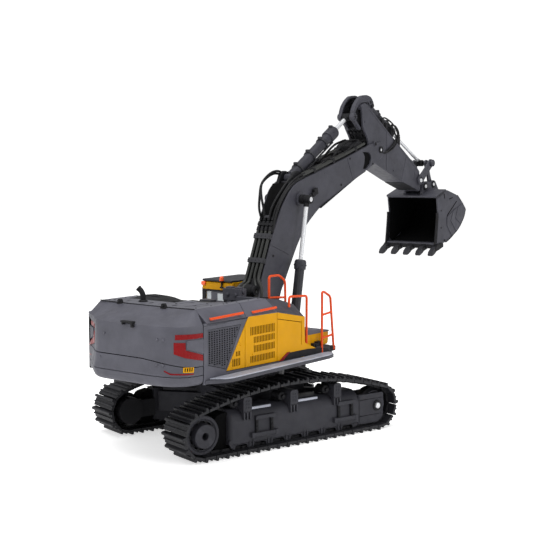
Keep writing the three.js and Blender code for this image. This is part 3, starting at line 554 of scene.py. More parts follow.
def roller_bank():
    """Seven lower rollers with their axles."""
    shells = []
    for i in range(7):
        pivot = (-80 + i * 27.5, 14.2)
        profile = [(76, 3.4), (76, 5.8), (78.6, 5.8), (79.4, 4.8), (89.6, 4.8), (90.4, 5.8), (93, 5.8),
                   (93, 3.4)]
        shells.append(lathe(profile, (pivot[0], 0, pivot[1]), (0, 1, 0), 24))
        shells.append(disc_y(pivot, 73.5, 98.4, 2.2, 16, 0.3))
        shells += bolt((pivot[0], 98.2, pivot[1]), (0, 1, 0), 1.7, 1.0)
    shells.append(block(-90, 95, 80, 89, 20.5, 26))
    return shells


# ------------------------------------------------------------------ side frames
def skirt():
    """The long pressed cover over the rollers: vertical face, sloping shoulder, rounded rear foot."""
    section = soften([(69.5, 12.8), (96, 12.8), (SKIRT_Y, 12.8), (SKIRT_Y, 41), (96.5, 48.5), (88, 54),
                      (69.5, 54)], [0, 0, 0.8, 7, 6, 3, 0], 5)
    rings = []
    for x, inset, lift in ((-97.6, 9, 0.0), (-96.6, 4.2, 0), (-94.4, 1.3, 0), (-91.5, 0, 0), (103, 0, 0)):
        ring = []
        for y, z in section:
            y_in = y - inset if y > 90 else min(y, 91)
            ring.append((x, y_in, z + lift))
        rings.append(ring)
    return [loft(rings)]


def skirt_flange():
    """The lower edge of the track frame."""
    outline = soften([(-97.4, 18), (-97.4, 12.6), (-93, 6.9), (97, 6.9), (102.6, 9.6), (102.6, 12.4),
                      (-90, 12.4), (-90, 18)], [0, 3, 5, 4, 2, 0, 0, 0], 4)
    return [prism(outline, 97.2, 99.3), block(-90, 98, 70, 74, 10, 13)]


def flange_arches():
    """Openings in the cover's lower edge, one in front of each roller."""
    cuts = []
    for i in range(7):
        x = -80 + i * 27.5
        arch = soften([(x - 9.6, 6), (x + 9.6, 6), (x + 8.6, 11.7), (x - 8.6, 11.7)], [0, 0, 3.4, 3.4], 4)
        cuts.append(prism(arch, 96, 101))
    return cuts


def skirt_ribs():
    """Pairs of webs between the rollers, under the cover's edge."""
    shells = []
    for i in range(6):
        x = -66.2 + i * 27.5
        for dx in (-3.2, 2.0):
            foot = [(x + dx, 7.2), (x + dx + 1.2, 7.2), (x + dx + 1.2, 15.4), (x + dx, 15.4)]
            shells.append(prism(foot, 96, 100.7))
    return shells


def wheel_gap_shade():
    """Near-black rounded blocks between the cover and the two wheels: painted shade in the gaps."""
    rear = soften([(-114, 8), (-95, 6), (-95, 52), (-112, 49), (-118, 38)], 4, 4)
    front = soften([(102, 16), (113, 16), (113, 46), (102, 50)], 2, 3)
    return [prism(rear, 74, 92.5), prism(front, 75, 94)]


def guide_bracket(x):
    """A stout post that carries the top run, with a forked foot on the cover's shoulder."""
    face = SKIRT_Y + 2.4
    post = soften([(x - 7, 50), (x + 5, 50), (x + 5, 66), (x + 3.4, 68), (x - 5.4, 68), (x - 7, 66)], 1.2, 3)
    shells = [prism(post, 77, face)]
    for dx in (-7, -2.4, 2.2):
        tooth = soften([(x + dx, 51), (x + dx + 2.8, 51), (x + dx + 2.2, 40.5), (x + dx + 0.6, 40.5)], 0.8, 2)
        shells.append(prism(tooth, SKIRT_Y - 3, face))
    for z in (55, 59, 63):
        for dx in (-2.6, 1.4):
            shells += bolt((x + dx, face, z), (0, 1, 0), 0.9, 0.7)
    return shells


def footstep(x0, x1):
    """A ladder tread fixed on the cover: two bars joined by two posts."""
    inner, outer = SKIRT_Y - 1.5, SKIRT_Y + 3.6
    top = soften([(x0 + 4, 39.6), (x1 - 1, 39.6), (x1 - 2.2, 44), (x0 + 5.5, 44)], 1, 2)
    low = soften([(x0, 19.2), (x1, 19.2), (x1, 23.8), (x0, 23.8)], 1, 2)
    shells = [prism(top, inner, outer), prism(low, inner, outer + 0.4)]
    shells.append(block(x0 - 1.6, x0 + 2.4, inner, outer + 0.9, 18.6, 24.4))
    shells.append(block(x1 - 2.4, x1 + 1.6, inner, outer + 0.9, 18.6, 24.4))
    return shells


def footstep_posts(x0, x1):
    """The dark uprights of a footstep, with their bolts."""
    inner, outer = SKIRT_Y - 1.5, SKIRT_Y + 3.6
    shells = []
    for x in (x0 + 5.4, x1 - 8.4):
        shells.append(prism(soften([(x, 22), (x + 3.6, 22), (x + 3.0, 41), (x - 0.6, 41)], 0.4, 2), inner,
                            outer - 0.8))
        for z in (26.5, 31.5, 36.5):
            shells += bolt((x + 1.4, outer - 0.9, z), (0, 1, 0), 1.3, 1.0)
    return shells


def yoke_parts():
    """Shells of the idler yoke, and the grooves cut in it."""
    outline = [(103.3, 10), (111, 9.2), (137, 9.2), (146, 15.5), (146, 46), (144.6, 47.4), (103.3, 47.4)]
    plate = prism(soften(outline, [0, 3, 3, 4, 1, 1, 0], 3), 94.8, SKIRT_Y)
    inner = prism(soften(outline, 2, 2), 69, 74.4)
    bridge = block(103.3, 110.5, 70, 99, 12, 45)
    grooves = [block(105, 143, SKIRT_Y - 0.7, SKIRT_Y + 1, z, z + 0.9) for z in (19.4, 40.2)]
    grooves.append(block(104.6, 105.3, SKIRT_Y - 0.7, SKIRT_Y + 1, 12, 46))
    return [plate, inner, bridge], grooves


def build_tracks(side, ground):
    """The belt of one side: shoes and chain."""
    piece("track_shoes_" + side, track_shoes(), TRACK, "undercarriage", ground, bevel=0.22,
          hides=["track_" + side])
    piece("track_links_" + side, track_links(), BLACK, "undercarriage", ground, bevel=0, slot="track_black")


def build_wheels(side, ground):
    """Sprocket and idler of one side."""
    wheel, hub = sprocket_parts()
    piece("sprocket_wheel_" + side, wheel, BLACK, "sprocket_" + side, ground, bevel=0.25,
          hides=["sprocket_" + side])
    piece("sprocket_hub_" + side, hub, FRAME_GREY, "sprocket_" + side, ground, bevel=0.2)
    piece("idler_wheel_" + side, idler_parts(), BLACK, "idler_" + side, ground, bevel=0.25,
          hides=["idler_" + side])
    # Thin pale rings on the idler rim's faces: a painted highlight.
    bands = []
    for face in (-1, 1):
        y = TRACK_Y + face * 8.2
        edge = [(y, 17.0), (y + face * 0.7, 17.1), (y + face * 0.7, 17.8), (y, 18.1)]
        bands.append(ring_y(IDLER, edge[::face], 48))
    piece("idler_rim_highlight_" + side, bands, SLATE_LIT, "idler_" + side, ground, bevel=0, slot="frame_grey")


def build_side_frame(side, ground):
    """The cover over the rollers with its brackets and treads, the rollers, and the idler's yoke."""
    def fixed(name, shells, mat, bevel, **more):
        piece(f"{name}_{side}", shells, mat, "undercarriage", ground, bevel=bevel, **more)

    fixed("lower_rollers", roller_bank(), BLACK, 0.2, hides=["roller_bank_" + side])
    fixed("frame_skirt", skirt(), FRAME_GREY, 0.4, hides=["side_frame_" + side])
    fixed("skirt_flange", skirt_flange(), FRAME_GREY, 0.25, holes=flange_arches())
    fixed("skirt_ribs", skirt_ribs(), FRAME_GREY, 0.2)
    # Painted shade between the cover and the wheels.
    fixed("wheel_gap_shade", wheel_gap_shade(), VOID, 0.5)
    for name, x in (("rear", -72), ("middle", -2), ("front", 67)):
        fixed("guide_bracket_" + name, guide_bracket(x), FRAME_GREY, 0.3)
    for name, x0, x1 in (("rear", -66, -30), ("front", 62, 97)):
        fixed("footstep_" + name, footstep(x0, x1), FRAME_GREY, 0.35)
        fixed("footstep_posts_" + name, footstep_posts(x0, x1), BLACK, 0.2)
    strips = [block(x0, x1, 92.2, 94.6, 50.4, 53.4) for x0, x1 in ((-63, -33), (9, 40))]
    fixed("shoulder_strips", strips, SILVER, 0.4)
    carriers = []
    for x in (-86, -15, 54):
        carriers.append(disc_y((x, 60.5), 78, 94, 5.6, 24, 1.0))
        carriers.append(disc_y((x, 60.5), 74, 97.5, 2.4, 16, 0.4))
        carriers.append(block(x - 3, x + 3, 74, 77.5, 50, 60.5))
    fixed("carrier_rollers", carriers, BLACK, 0.3)
    yoke, grooves = yoke_parts()
    fixed("idler_yoke_plate", yoke, FRAME_GREY, 0.5, hides=["idler_yoke_" + side], holes=grooves)
    fixed("idler_axle_seat", [ring_y(IDLER, [(99, 4.4), (99, 7.4), (101.4, 6.8), (101.4, 4.4)], 32)], BLACK,
          0.2)
    axle = lathe([(70, 4.0), (101.0, 4.0), (102.6, 3.7), (103.4, 2.8), (103.7, 1.2)],
                 (IDLER[0], 0, IDLER[1]), (0, 1, 0), 32)
    fixed("idler_axle", [axle], CHROME, 0, slot="chrome_rod")
    carry("drive_motor_" + side, BLACK)


def build_centre():
    """Centre frame and swing ring from the CAD, with bolts on the drum and ribs on the cross legs."""
    carry("centre_frame", FRAME_GREY, 0.8)
    carry("belly_cover", FRAME_GREY, 0.4)
    carry("swing_ring", STEEL, 0.15)
    ring_bolts = []
    for i in range(16):
        a = 2 * math.pi * i / 16
        ring_bolts += bolt((44.5 * math.cos(a), 44.5 * math.sin(a), 84), (0, 0, 1), 1.5, 1.0)
    piece("drum_bolts", ring_bolts, STEEL, "undercarriage", GROUND, bevel=0.15)
    ribs = []
    for sx in (-1, 1):
        for sy in (-1, 1):
            rib = [(sx * 42, sy * 30), (sx * 46, sy * 26), (sx * 86, sy * 67), (sx * 80, sy * 68)]
            ribs.append(prism(rib, 50.5, 55, "z"))
    piece("cross_leg_ribs", ribs, FRAME_GREY, "undercarriage", GROUND, bevel=0.6)


for which, ground_place, _ in SIDES:
    build_tracks(which, ground_place)
    build_wheels(which, ground_place)
    build_side_frame(which, ground_place)
build_centre()


# ------------------------------------------------------------------ counterweight
WEIGHT_X = -190.9
# The plan of its outer face, from the seam on the right round the back to the seam on the left.
WEIGHT_PLAN = [(WEIGHT_X, -91.2), (-200, -90.8), (-208, -88.4), (-215, -84), (-220.5, -77.5), (-225.5, -66),
               (-228.2, -52), (-229.4, -36), (-229.8, 0), (-230, 30), (-228.6, 36), (-225, 42), (-214, 56.6),
               (-202, 72.2), (-196, 82), (WEIGHT_X, 88.5)]


def unit(value):
    """The value held between 0 and 1."""
    return min(1.0, max(0.0, value))


def weight_ring(z, back=0.0, inset=0.0, droop=0.0, notch=0.0):
    """One level of the counterweight: back moves the rear face out, inset pulls every side in."""
    ring = []
    for x, y in WEIGHT_PLAN:
        pull = 1 - inset / 100
        fall = droop * unit((-30 - y) / 60) ** 1.5
        y -= notch * unit((y - 38) / 30)
        ring.append((WEIGHT_X + (x - WEIGHT_X) * pull - back * unit((WEIGHT_X - x) / 30), y * pull, z - fall))
    return ring + [(WEIGHT_X + 0.2, 85.0 - inset, z), (WEIGHT_X + 0.2, -86.0 + inset, z)]


def weight_top_ring(z, rear, side):
    """The upper band's edge at the deck: a level with its rear edge at x rear and its flanks at y side."""
    ring = []
    for x, y in WEIGHT_PLAN:
        across = max(-side, min(side, y * side / 91.2))
        depth = (x - WEIGHT_X) / (-230 - WEIGHT_X)
        ring.append((-183.6 + (rear + 183.6) * min(1.0, depth * 1.05), across, z))
    return ring + [(-183.4, side, z), (-183.4, -side, z)]


def build_counterweight():
    """The counterweight in three layers round a dark core, with lamps, latch, stripes and plate."""
    low = loft([weight_ring(98.2, 0, 7), weight_ring(99.2, 0.8, 3.4), weight_ring(101.4, 2.0, 1.0),
                weight_ring(105, 3.0, 0), weight_ring(110.2, 3.6, 0, 1.0)])
    middle = loft([weight_ring(110.8, 3.6, 0, 1.0), weight_ring(119, 2.2, 0, 4.0),
                   weight_ring(127.5, 0.4, 0, 8.5)])
    high = loft([weight_ring(128.5, 0.2, 0, 8.5), weight_ring(133, 0.1, 0, 4.0, notch=4.0),
                 weight_ring(145, 0, 0, notch=4.0), weight_ring(156, 0, 0, notch=4.0),
                 weight_ring(160.6, 0, 0), weight_ring(164.4, -0.9, 0.2),
                 weight_top_ring(179.6, -189.5, 75.4)])
    core = loft([weight_ring(100, -2, 4), weight_ring(164, -3, 4)])
    for name, shells in (("low", [low]), ("middle", [middle]), ("high", [high])):
        piece("counterweight_" + name, shells, SLATE, "upper", bevel=0.5, hides=["counterweight"]
              if name == "middle" else ())
    piece("counterweight_core", [core], VOID, "upper", bevel=0)
    for side in ("right", "left"):
        build_tail_lamp(side)
    bosses = []
    for y, z in ((-57, 150), (-64.5, 150), (-57, 122.5), (-65, 122.5), (22, 151), (28, 123)):
        x, y, z = on_weight(arc_at(y), z, -0.3)
        bosses += [lathe([(0, 1.5), (0.9, 1.5), (1.2, 1.1)], (x, y, z), (-1, 0, 0), 16)]
    piece("weight_bosses", bosses, SLATE, "upper", bevel=0)
    latch = [block(-232.6, -227, -24, -6, 165.6, 167.6), block(-232.4, -228, -9.4, -7.4, 163.0, 166.0),
             block(-232.4, -228, -23.6, -21.2, 161.8, 166.0), block(-233.2, -229.4, -25, -22, 161.0, 162.8)]
    piece("weight_latch", latch, BLACK, "upper", bevel=0.35)
    stripe = [skin_patch([(46, 116.0, 117.3), (38.5, 112.9, 114.3), (13, 112.0, 113.4)], 0.25)]
    stripe.append(skin_patch([(195, 116.4, 117.6), (212, 115.4, 116.6)], 0.25))
    piece("weight_stripes", stripe, RED, "upper", bevel=0, slot="slate_panel")
    tag = [skin_patch([(25, 115.0, 120.6), (13, 114.4, 120.0)], 0.3)]
    piece("weight_tag", tag, YELLOW, "upper", bevel=0)
    bars = [skin_patch([(s, 116.0, 119.8), (s - 1.2, 115.8, 119.8)], 0.5) for s in (23.5, 21, 18.5, 16)]
    piece("weight_tag_bars", bars, BROWN, "upper", bevel=0)


def weight_arcs():
    """Distance along the counterweight's plan at each of its points."""
    out = [0.0]
    for a, b in zip(WEIGHT_PLAN, WEIGHT_PLAN[1:]):
        out.append(out[-1] + math.dist(a, b))
    return out


ARCS = weight_arcs()


def arc_at(y):
    """Arc length round the plan, from the right seam, of the rear face's point at a given y."""
    for i, (a, b) in enumerate(zip(WEIGHT_PLAN, WEIGHT_PLAN[1:])):
        if a[1] <= y <= b[1]:
            return ARCS[i] + (ARCS[i + 1] - ARCS[i]) * (y - a[1]) / (b[1] - a[1])
    return 0.0


def on_weight(s, z, out):
    """The point on the counterweight's face at arc length s and height z, moved outward by out."""
    for i in range(len(ARCS) - 1):
        if s <= ARCS[i + 1] or i == len(ARCS) - 2:
            t = (s - ARCS[i]) / (ARCS[i + 1] - ARCS[i])
            a, b = Vector(WEIGHT_PLAN[i]), Vector(WEIGHT_PLAN[i + 1])
            p = a.lerp(b, t)
            normal = Vector(((b - a).y, -(b - a).x)).normalized() * -1
            bulge = 0.2 if z > 128 else 0.2 + (128 - z) * 0.19
            share = unit((WEIGHT_X - p.x) / 30)
            notch = 4.0 * unit((p.y - 38) / 30) * unit((z - 128.5) / 4.5)
            return (p.x + normal.x * out - bulge * share, p.y + normal.y * out - notch, z)
    return None


# How far the plates on the counterweight reach in behind its face.
PATCH_ROOT = -0.6


def skin_patch(columns, out):
    """A plate that follows the counterweight's face; columns are (arc length, z low, z high)."""
    dense = []
    for a, b in zip(columns, columns[1:]):
        count = max(2, int(abs(a[0] - b[0]) / 2.5))
        dense += [tuple(a[k] + (b[k] - a[k]) * i / count for k in range(3)) for i in range(count)]
    dense.append(columns[-1])
    rings = [[on_weight(s, low, PATCH_ROOT), on_weight(s, low, out), on_weight(s, high, out),
              on_weight(s, high, PATCH_ROOT)] for s, low, high in dense]
    return loft(rings)


def build_tail_lamp(side):
    """One tail lamp and its shield, which follow the counterweight's face."""
    total = ARCS[-1]

    def place(columns):
        if side == "right":
            return columns
        return [(total - s, low, high) for s, low, high in columns]
    upper_bar = skin_patch(place([(0.3, 151.2, 156.3), (24, 151.0, 156.4), (34.5, 150.6, 156.3)]), 0.5)
    lower_l = skin_patch(place([(0.3, 125.7, 132.2), (23, 130.6, 139.2), (23.3, 130.6, 147.4),
                                (36.2, 135.2, 147.7)]), 0.5)
    piece("tail_lamp_" + side, [upper_bar, lower_l], RED, "upper", bevel=0.2)
    shield = skin_patch(place([(0.3, 133.6, 150.0), (20.6, 140.0, 149.6), (22.3, 141.4, 148.2)]), 1.5)
    piece("lamp_shield_" + side, [shield], SLATE, "upper", bevel=0.5)


# ------------------------------------------------------------------ engine house
def deck_section():
    """The deck's cross-section: a flat top, rounded shoulders, and a chamfer down to each side."""
    half = [(DECK_Y - 0.6, DECK_Z), (DECK_Y + 0.6, DECK_Z - 0.8), (BODY_Y, CHAMFER_Z), (BODY_Y, 163.4)]
    return [(-y, z) for y, z in half[::-1]] + half


def build_deck():
    """The slate deck with its slots, seams, far sill, lifting lugs and screws."""
    holes = [block(-152.2, -65.8, -14.2, 61.2, 150, 190),
             prism([(-124.8, 95), (-124.8, -7.8), (-131.5, -38.6), (-113, -62), (-50, -62), (-50, 95)], 150,
                   190, "z")]
    slots = []
    for x, y, dx, dy in ((-170, 6, 4, 2), (-172, -32, 4, 2), (-160, -52, 3, 1.2), (-146, -58, 3, 1.2),
                         (-138, -30, 3, 1.2), (-168, 44, 3, 1.2)):
        slots.append(block(x - dx, x + dx, y - dy, y + dy, 178.6, 184))
    seams = [block(-107.8, -106.8, -75.6, -60, 177.6, 184), block(-107.8, -106.8, 60, 75.6, 177.6, 184),
             block(-187, -120, -60.5, -59.8, 179.0, 184)]
    for side in (-1, 1):
        slant = []
        for x, y, z in ((-106.8, 74.2, 178.4), (-116.0, 91.6, 163.9)):
            slant.append([(x - 1.0, side * y, z), (x, side * y, z), (x, side * (y + 4), z + 5),
                          (x - 1.0, side * (y + 4), z + 5)])
        seams.append(loft(slant))
    body = prism(deck_section(), -184.6, -56.3, "x")
    piece("deck_panel", [body], SLATE, "upper", bevel=0.5, hides=["deck_cover"], holes=holes + slots + seams)
    # A skin of paler slate over the deck's top: painted light on the lit top.
    piece("deck_top_painted_light", [block(-184.2, -56.8, -74.4, 74.4, 179.3, 180.3)], SLATE_LIT, "upper", bevel=0.2,
          holes=holes + slots + seams)
    # Near-black sheets under the deck's slots and openings: painted shade.
    shade_wells = [block(-182, -132, -70, 70, 176.6, 178.4), block(-132, -58, -66, 88, 150, 152.4)]
    piece("deck_slots_shade", shade_wells, VOID, "upper", bevel=0)
    # Near-black strips along the bottom of the engine bay: painted shade inside the house.
    pan = [block(-184, -8.2, -88.4, -73, 98.3, 99.3), block(-184, 13.8, 73, 88.4, 98.3, 99.3)]
    piece("engine_bay_shade", pan, VOID, "upper", bevel=0)
    sill = prism([(64, 158), (90.4, 158), (90.4, 163.4), (86, 166.2), (68, 166.2), (64, 164)], -124.4, -56.6,
                 "x")
    piece("deck_far_sill", [sill], SLATE, "upper", bevel=0.5,
          holes=[block(-118 + i * 9, -112 + i * 9, 70, 84, 165.2, 168) for i in range(6)])
    lugs = []
    for x, y in ((-188.6, 38), (-190.6, -33)):
        lug = soften([(y - 5.2, 176), (y + 5.2, 176), (y + 2.6, 184.6), (y - 2.6, 184.6)], [0, 0, 2, 2], 3)
        lugs.append(prism(lug, x - 1.6, x + 1.6, "x"))
        lugs.append(lathe([(-3, 1.3), (3, 1.3)], (x, y, 181.6), (1, 0, 0), 12))
    piece("lifting_lugs", lugs, BLACK, "upper", bevel=0.4)
    edge = [tube([(-185.4, 74, 180.2), (-188, 40, 180.0), (-188.4, 0, 179.8), (-188, -40, 179.9),
                  (-185.4, -74, 180.2)], 0.7, 8)]
    piece("deck_rear_beading", edge, BLACK, "upper", bevel=0)
    screws = []
    near = [(x, -68) for x in (-176, -150, -128, -104, -82, -64)]
    for x, y in near + [(-176, 68), (-150, 68), (-130, 68)]:
        screws += bolt((x, y, DECK_Z), (0, 0, 1), 1.1, 0.8)
    for x, y in ((-160, -24), (-136, -50), (-120, -66), (-176, 60)):
        screws += bolt((x, y, DECK_Z), (0, 0, 1), 1.3, 1.0)
    piece("deck_screws", screws, DARK_GREY, "upper", bevel=0.1)
    # The ribs on the deck top share the paler slate of the painted top light.
    strips = [block(-176, -128, -50.5, -49.5, 179.8, 180.7), block(-176, -158, -10.6, -9.6, 179.8, 180.7),
              block(-156, -134, -26.5, -25.5, 179.8, 180.7)]
    piece("deck_ribs", strips, SLATE_LIT, "upper", bevel=0.2)


def build_hood():
    """The engine lid with louvres, the exhaust, and the engine under the lid."""
    rings = []
    for y, top in ((-13.4, 176.6), (-4, 177.6), (5.4, 178.4), (17.5, 182.2), (30, 183.4), (48.5, 184),
                   (56, 182.8), (60.4, 179.6)):
        rings.append([(-151.4, y, 172), (-66.6, y, 160), (-66.6, y, 164), (-106, y, 174.6),
                      (-118, y, top - 0.8), (-134, y, top), (-151.4, y, min(top, 179.4))])
    louvres = [block(-146 + i * 4.4, -144.4 + i * 4.4, 22, 44, 182.2, 190) for i in range(6)]
    piece("engine_lid", [loft(rings)], BLACK, "engine_hood", bevel=0.8, hides=["engine_hood"], holes=louvres)
    pads = [block(-100, -76, -6, 20, 164, 172.4), block(-100, -76, 28, 52, 164, 172.4)]
    piece("engine_lid_pads", pads, DARK_GREY, "engine_hood", bevel=0.8)
    path = [(-167, 22, 176), (-167, 22, 184), (-167, 22.6, 188.6), (-167.6, 24.2, 192.4),
            (-168.6, 26.8, 195.2)]
    stack = tube(path, 3.2, 20, 5)
    collar = lathe([(0, 5.4), (1.4, 5.4), (2.4, 4.0)], (-167, 22, 180), (0, 0, 1), 24)
    mouth = lathe([(0, 3.6), (1.6, 3.6), (1.6, 2.5), (-2.2, 2.5), (-2.2, 2.4), (0, 2.4)],
                  (-168.6, 26.8, 195.2), (-0.3, 0.7, 0.65), 20, ring=True)
    piece("exhaust_pipe", [stack, collar, mouth], BLACK, "upper", bevel=0, hides=["exhaust_stack"])
    engine = [block(-118, -76, -58, -22, 152, 167), block(-72, -60, -50, 40, 152, 171),
              lathe([(0, 7), (1.4, 8.4), (30, 8.4), (31.4, 7)], (-112, -40, 168), (1, 0, 0), 28),
              lathe([(0, 4.2), (10, 4.2), (11, 3.2)], (-78, -52, 160), (0, 0, 1), 20),
              tube([(-82, -40, 168), (-72, -42, 170), (-66, -44, 164), (-66, -46, 156)], 2.4, 12, 4)]
    for i in range(6):
        engine.append(block(-114 + i * 6, -111.6 + i * 6, -57, -46, 167, 169.4))
    piece("engine_block", engine, BLACK, "upper", bevel=0.7)


GRILLE = [(-182.3, 119.4), (-151.2, 110.9), (-125, 158), (-182.3, 158)]


def inside(p, outline, margin):
    """Whether p is inside a convex outline, at least margin from its edges."""
    for a, b in zip(outline, outline[1:] + outline[:1]):
        edge = Vector(b) - Vector(a)
        if edge.cross(Vector(p) - Vector(a)) / edge.length < margin:
            return False
    return True


def build_side(side, upper):
    """Grey side panel, perforated grille and yellow panel with its rows of vents."""
    rear = SEAM_X + 1.3
    outline = [(rear, PANEL_Z0), (-8.4, PANEL_Z0), (-8.4, 104.5), (-151.2, 107.7), (-111.6, 165.8),
               (rear, 165.8)]
    gap = [block(SEAM_X - 0.6, rear + 1.5, 85, 88.2, PANEL_Z0, 164)]
    gap += [block(x - 1.2, x + 1.2, 87.4, 88.4, 106, 164) for x in (-117.3, -56.2)]
    if side == "right":
        gap.append(prism([(-56, 158.4), (-5, 149.2), (-5, 146.2), (-56, 155.4)], 87.4, 88.4))
        gap.append(block(-8.4, -4.8, 87.4, 88.4, 118, 157))
    piece("panel_gaps_" + side, gap, VOID, "upper", upper, bevel=0)
    window = soften([(-182.9, 118.9), (-151, 110.2), (-124.2, 158.6), (-182.9, 158.6)], 1.5, 2)
    lines = [block(-193, -150, 89, 93, 163.0, 163.4)]
    piece("side_panel_grey_" + side, [prism(outline, 88.6, BODY_Y)], SLATE, "upper", upper, bevel=0.3,
          hides=["side_panel_" + side], holes=[prism(window, 87, 93)] + lines)
    dots = []
    for i in range(13):
        for k in range(19):
            x, z = -179.4 + i * 4.4, 113.6 + k * 2.45
            if inside((x, z), GRILLE, 2.2):
                dots.append(block(x - 1.3, x + 1.3, 88, 92, z - 0.75, z + 0.75))
    piece("perforated_grille_" + side, [prism(GRILLE, 89.2, 90.5)], BOOM_GREY, "upper", upper, bevel=0,
          hides=["grille_" + side], holes=dots, slot="black_plastic", crossing=False)
    # A near-black sheet behind the grille's holes: painted shade inside the engine house.
    backing = [prism([(-184, 117), (-150, 108.5), (-122, 160), (-184, 160)], 86.4, 87.6)]
    piece("grille_painted_shade_" + side, backing, VOID, "upper", upper, bevel=0)
    if side == "right":
        panel = [(-150.4, 108.2), (4.4, 105.2), (4.4, 116), (0.8, 122.5), (0.8, 154), (-55.8, 164.9),
                 (-111.0, 165.6)]
    else:
        panel = [(-150.4, 108.2), (-56.3, 106.4), (-56.3, 165.4), (-111.0, 165.6)]
    vents = []
    rows = ((-108, -60.7, 143.2, 153, 16), (-101.6, -60.6, 133.6, 141, 14), (-101.6, -60.6, 122.8, 130.8, 14),
            (-108, -60.6, 111.2, 119, 16), (-134.6, -125.6, 122.5, 128, 3), (-140.9, -125.6, 111.4, 120, 5))
    for x0, x1, z0, z1, count in rows:
        pitch = (x1 - x0) / count
        for i in range(count):
            vents.append(block(x0 + (i + 0.2) * pitch, x0 + (i + 0.82) * pitch, 90, 93, z0, z1))
    seams = [block(x - 0.45, x + 0.45, 87, 93, 100, 170) for x in (-117.3, -56.2)]
    if side == "right":
        seams.append(block(-7.2, -6.0, 87, 93, 120, 150))
        seams.append(prism([(-55.6, 156.7), (-7, 147.6), (-7, 148.4), (-55.6, 157.5)], 87, 93))
    piece("yellow_panel_back_" + side, [prism(panel, 88.8, 90.45)], YELLOW, "upper", upper, bevel=0,
          holes=seams)
    piece("yellow_panel_skin_" + side, [prism(panel, 90.52, BODY_Y + 0.15)], YELLOW, "upper", upper,
          bevel=0.3, hides=["yellow_panel_" + side], holes=vents + seams)
    cores = [block(-134, -58, 86, 87.8, 108, 160)]
    piece("radiator_core_" + side, cores, BROWN, "upper", upper, bevel=0)
    fill = [block(x0 - 0.6, x1 + 0.6, 88.2, 90.5, z0 - 0.4, z1 + 0.4) for x0, x1, z0, z1, _ in rows]
    piece("vent_fill_" + side, fill, BROWN, "upper", upper, bevel=0)
    ribs = [block(-110 + i * 1.4, -109.5 + i * 1.4, 87.5, 88.3, 110, 156) for i in range(37)]
    piece("radiator_fins_" + side, ribs, DARK_GREY, "upper", upper, bevel=0)
    knobs = []
    for x, z in ((-128, 138), (-126, 134.6), (-100, 131.6), (-103.4, 121)):
        knobs.append(disc_y((x, z), 90.6, 92.0, 0.8, 12, 0.2))
    piece("panel_latches_" + side, knobs, YELLOW, "upper", upper, bevel=0)


def build_tank():
    """Right front cover: its top slopes down and forward, and turns down into the chamfer."""
    def ring(x, top):
        low = top - 13.7
        return [(x, -BODY_Y, low - 3), (x, -BODY_Y, low), (x, -DECK_Y, top), (x, -28, top), (x, -28, low - 3)]
    cover = loft([ring(-55.8, 180), ring(-30, 176.8), ring(-1.5, 168.4), ring(1.4, 165.2)])
    handle = [block(-40, -32, -60, -52, 176, 178.9)]
    piece("tank_lid", [cover], BOOM_GREY, "upper", bevel=0.6, hides=["tank_cover"], slot="slate_panel")
    piece("tank_caps", handle + bolt((-20, -46, 173.4), (0.3, 0, 1), 3.2, 1.6), BLACK, "upper", bevel=0.4)
    walls = [block(-1.2, 0.8, -90.6, -28, 101.3, 154.6), block(-55, -0.2, -30, -28, 101.3, 166)]
    piece("tank_walls", walls, YELLOW, "upper", bevel=0.3)
    piece("front_ledge", [prism([(1.2, 105), (38, 106.4), (8, 118.6), (1.2, 122)], -90.8, -84)], YELLOW,
          "upper", bevel=0.3)


def build_front_deck():
    """The front corner with its side band, toolbox, lid and brackets."""
    base = soften([(1.0, 97.2), (59, 97.2), (59, 106), (54, 112.2), (30, 113.2), (6, 106.4), (1.0, 106.4)],
                  [0, 2, 3, 3, 0, 0, 0], 3)
    piece("front_corner_block", [prism(base, -91, -46)], DARK_GREY, "upper", bevel=0.5, slot="frame_grey")
    piece("side_band", [prism([(-43.4, 105.4), (4, 104.8), (53.6, 99), (54.4, 104), (50, 108.2), (38, 110.4),
                               (5.5, 113), (-32.4, 113.4)], -91.9, -90.2)], BLACK, "upper", bevel=0.2)
    slash = [(-52.6, 105.6), (-45.4, 105.6), (-31.0, 114.4), (-36.6, 114.4)]
    piece("side_slash", [prism(slash, -92.1, -90.2)], RED, "upper", bevel=0.1)
    box = soften([(6, 112), (61, 112), (62.6, 117), (62.6, 128), (6, 128)], [0, 2, 2, 1, 0], 3)
    piece("toolbox", [prism(box, -83.6, -46.6)], YELLOW, "upper", bevel=0.5, hides=["front_box"],
          holes=[block(x, x + 0.7, -90, -83, 113, 127) for x in (24, 43)]
          + [block(5, 64, -90, -83, 121.4, 122.2)])
    lid = soften([(5, 128.2), (63.4, 128.2), (63.4, 130), (34, 133.2), (5, 136.6)], [0, 1, 1, 0, 1], 2)
    piece("toolbox_lid", [prism(lid, -84.6, -46)], SLATE, "upper", bevel=0.5)
    bits = [block(24, 33, -88.6, -83, 112, 117), block(32, 42, -89.4, -83, 113.4, 118.4),
            block(58, 68, -91.6, -84.8, 103.4, 109.6), bar((29, -90, 114.6), (29, -83, 114.6), 2.4, 16, 0.4)]
    piece("front_brackets", bits, BLACK, "upper", bevel=0.4)
    lights = [block(50, 56, -85.4, -83.2, 118, 124), block(61.6, 64, -78, -52, 118, 121)]
    piece("front_box_details", lights, YELLOW, "upper", bevel=0.4)


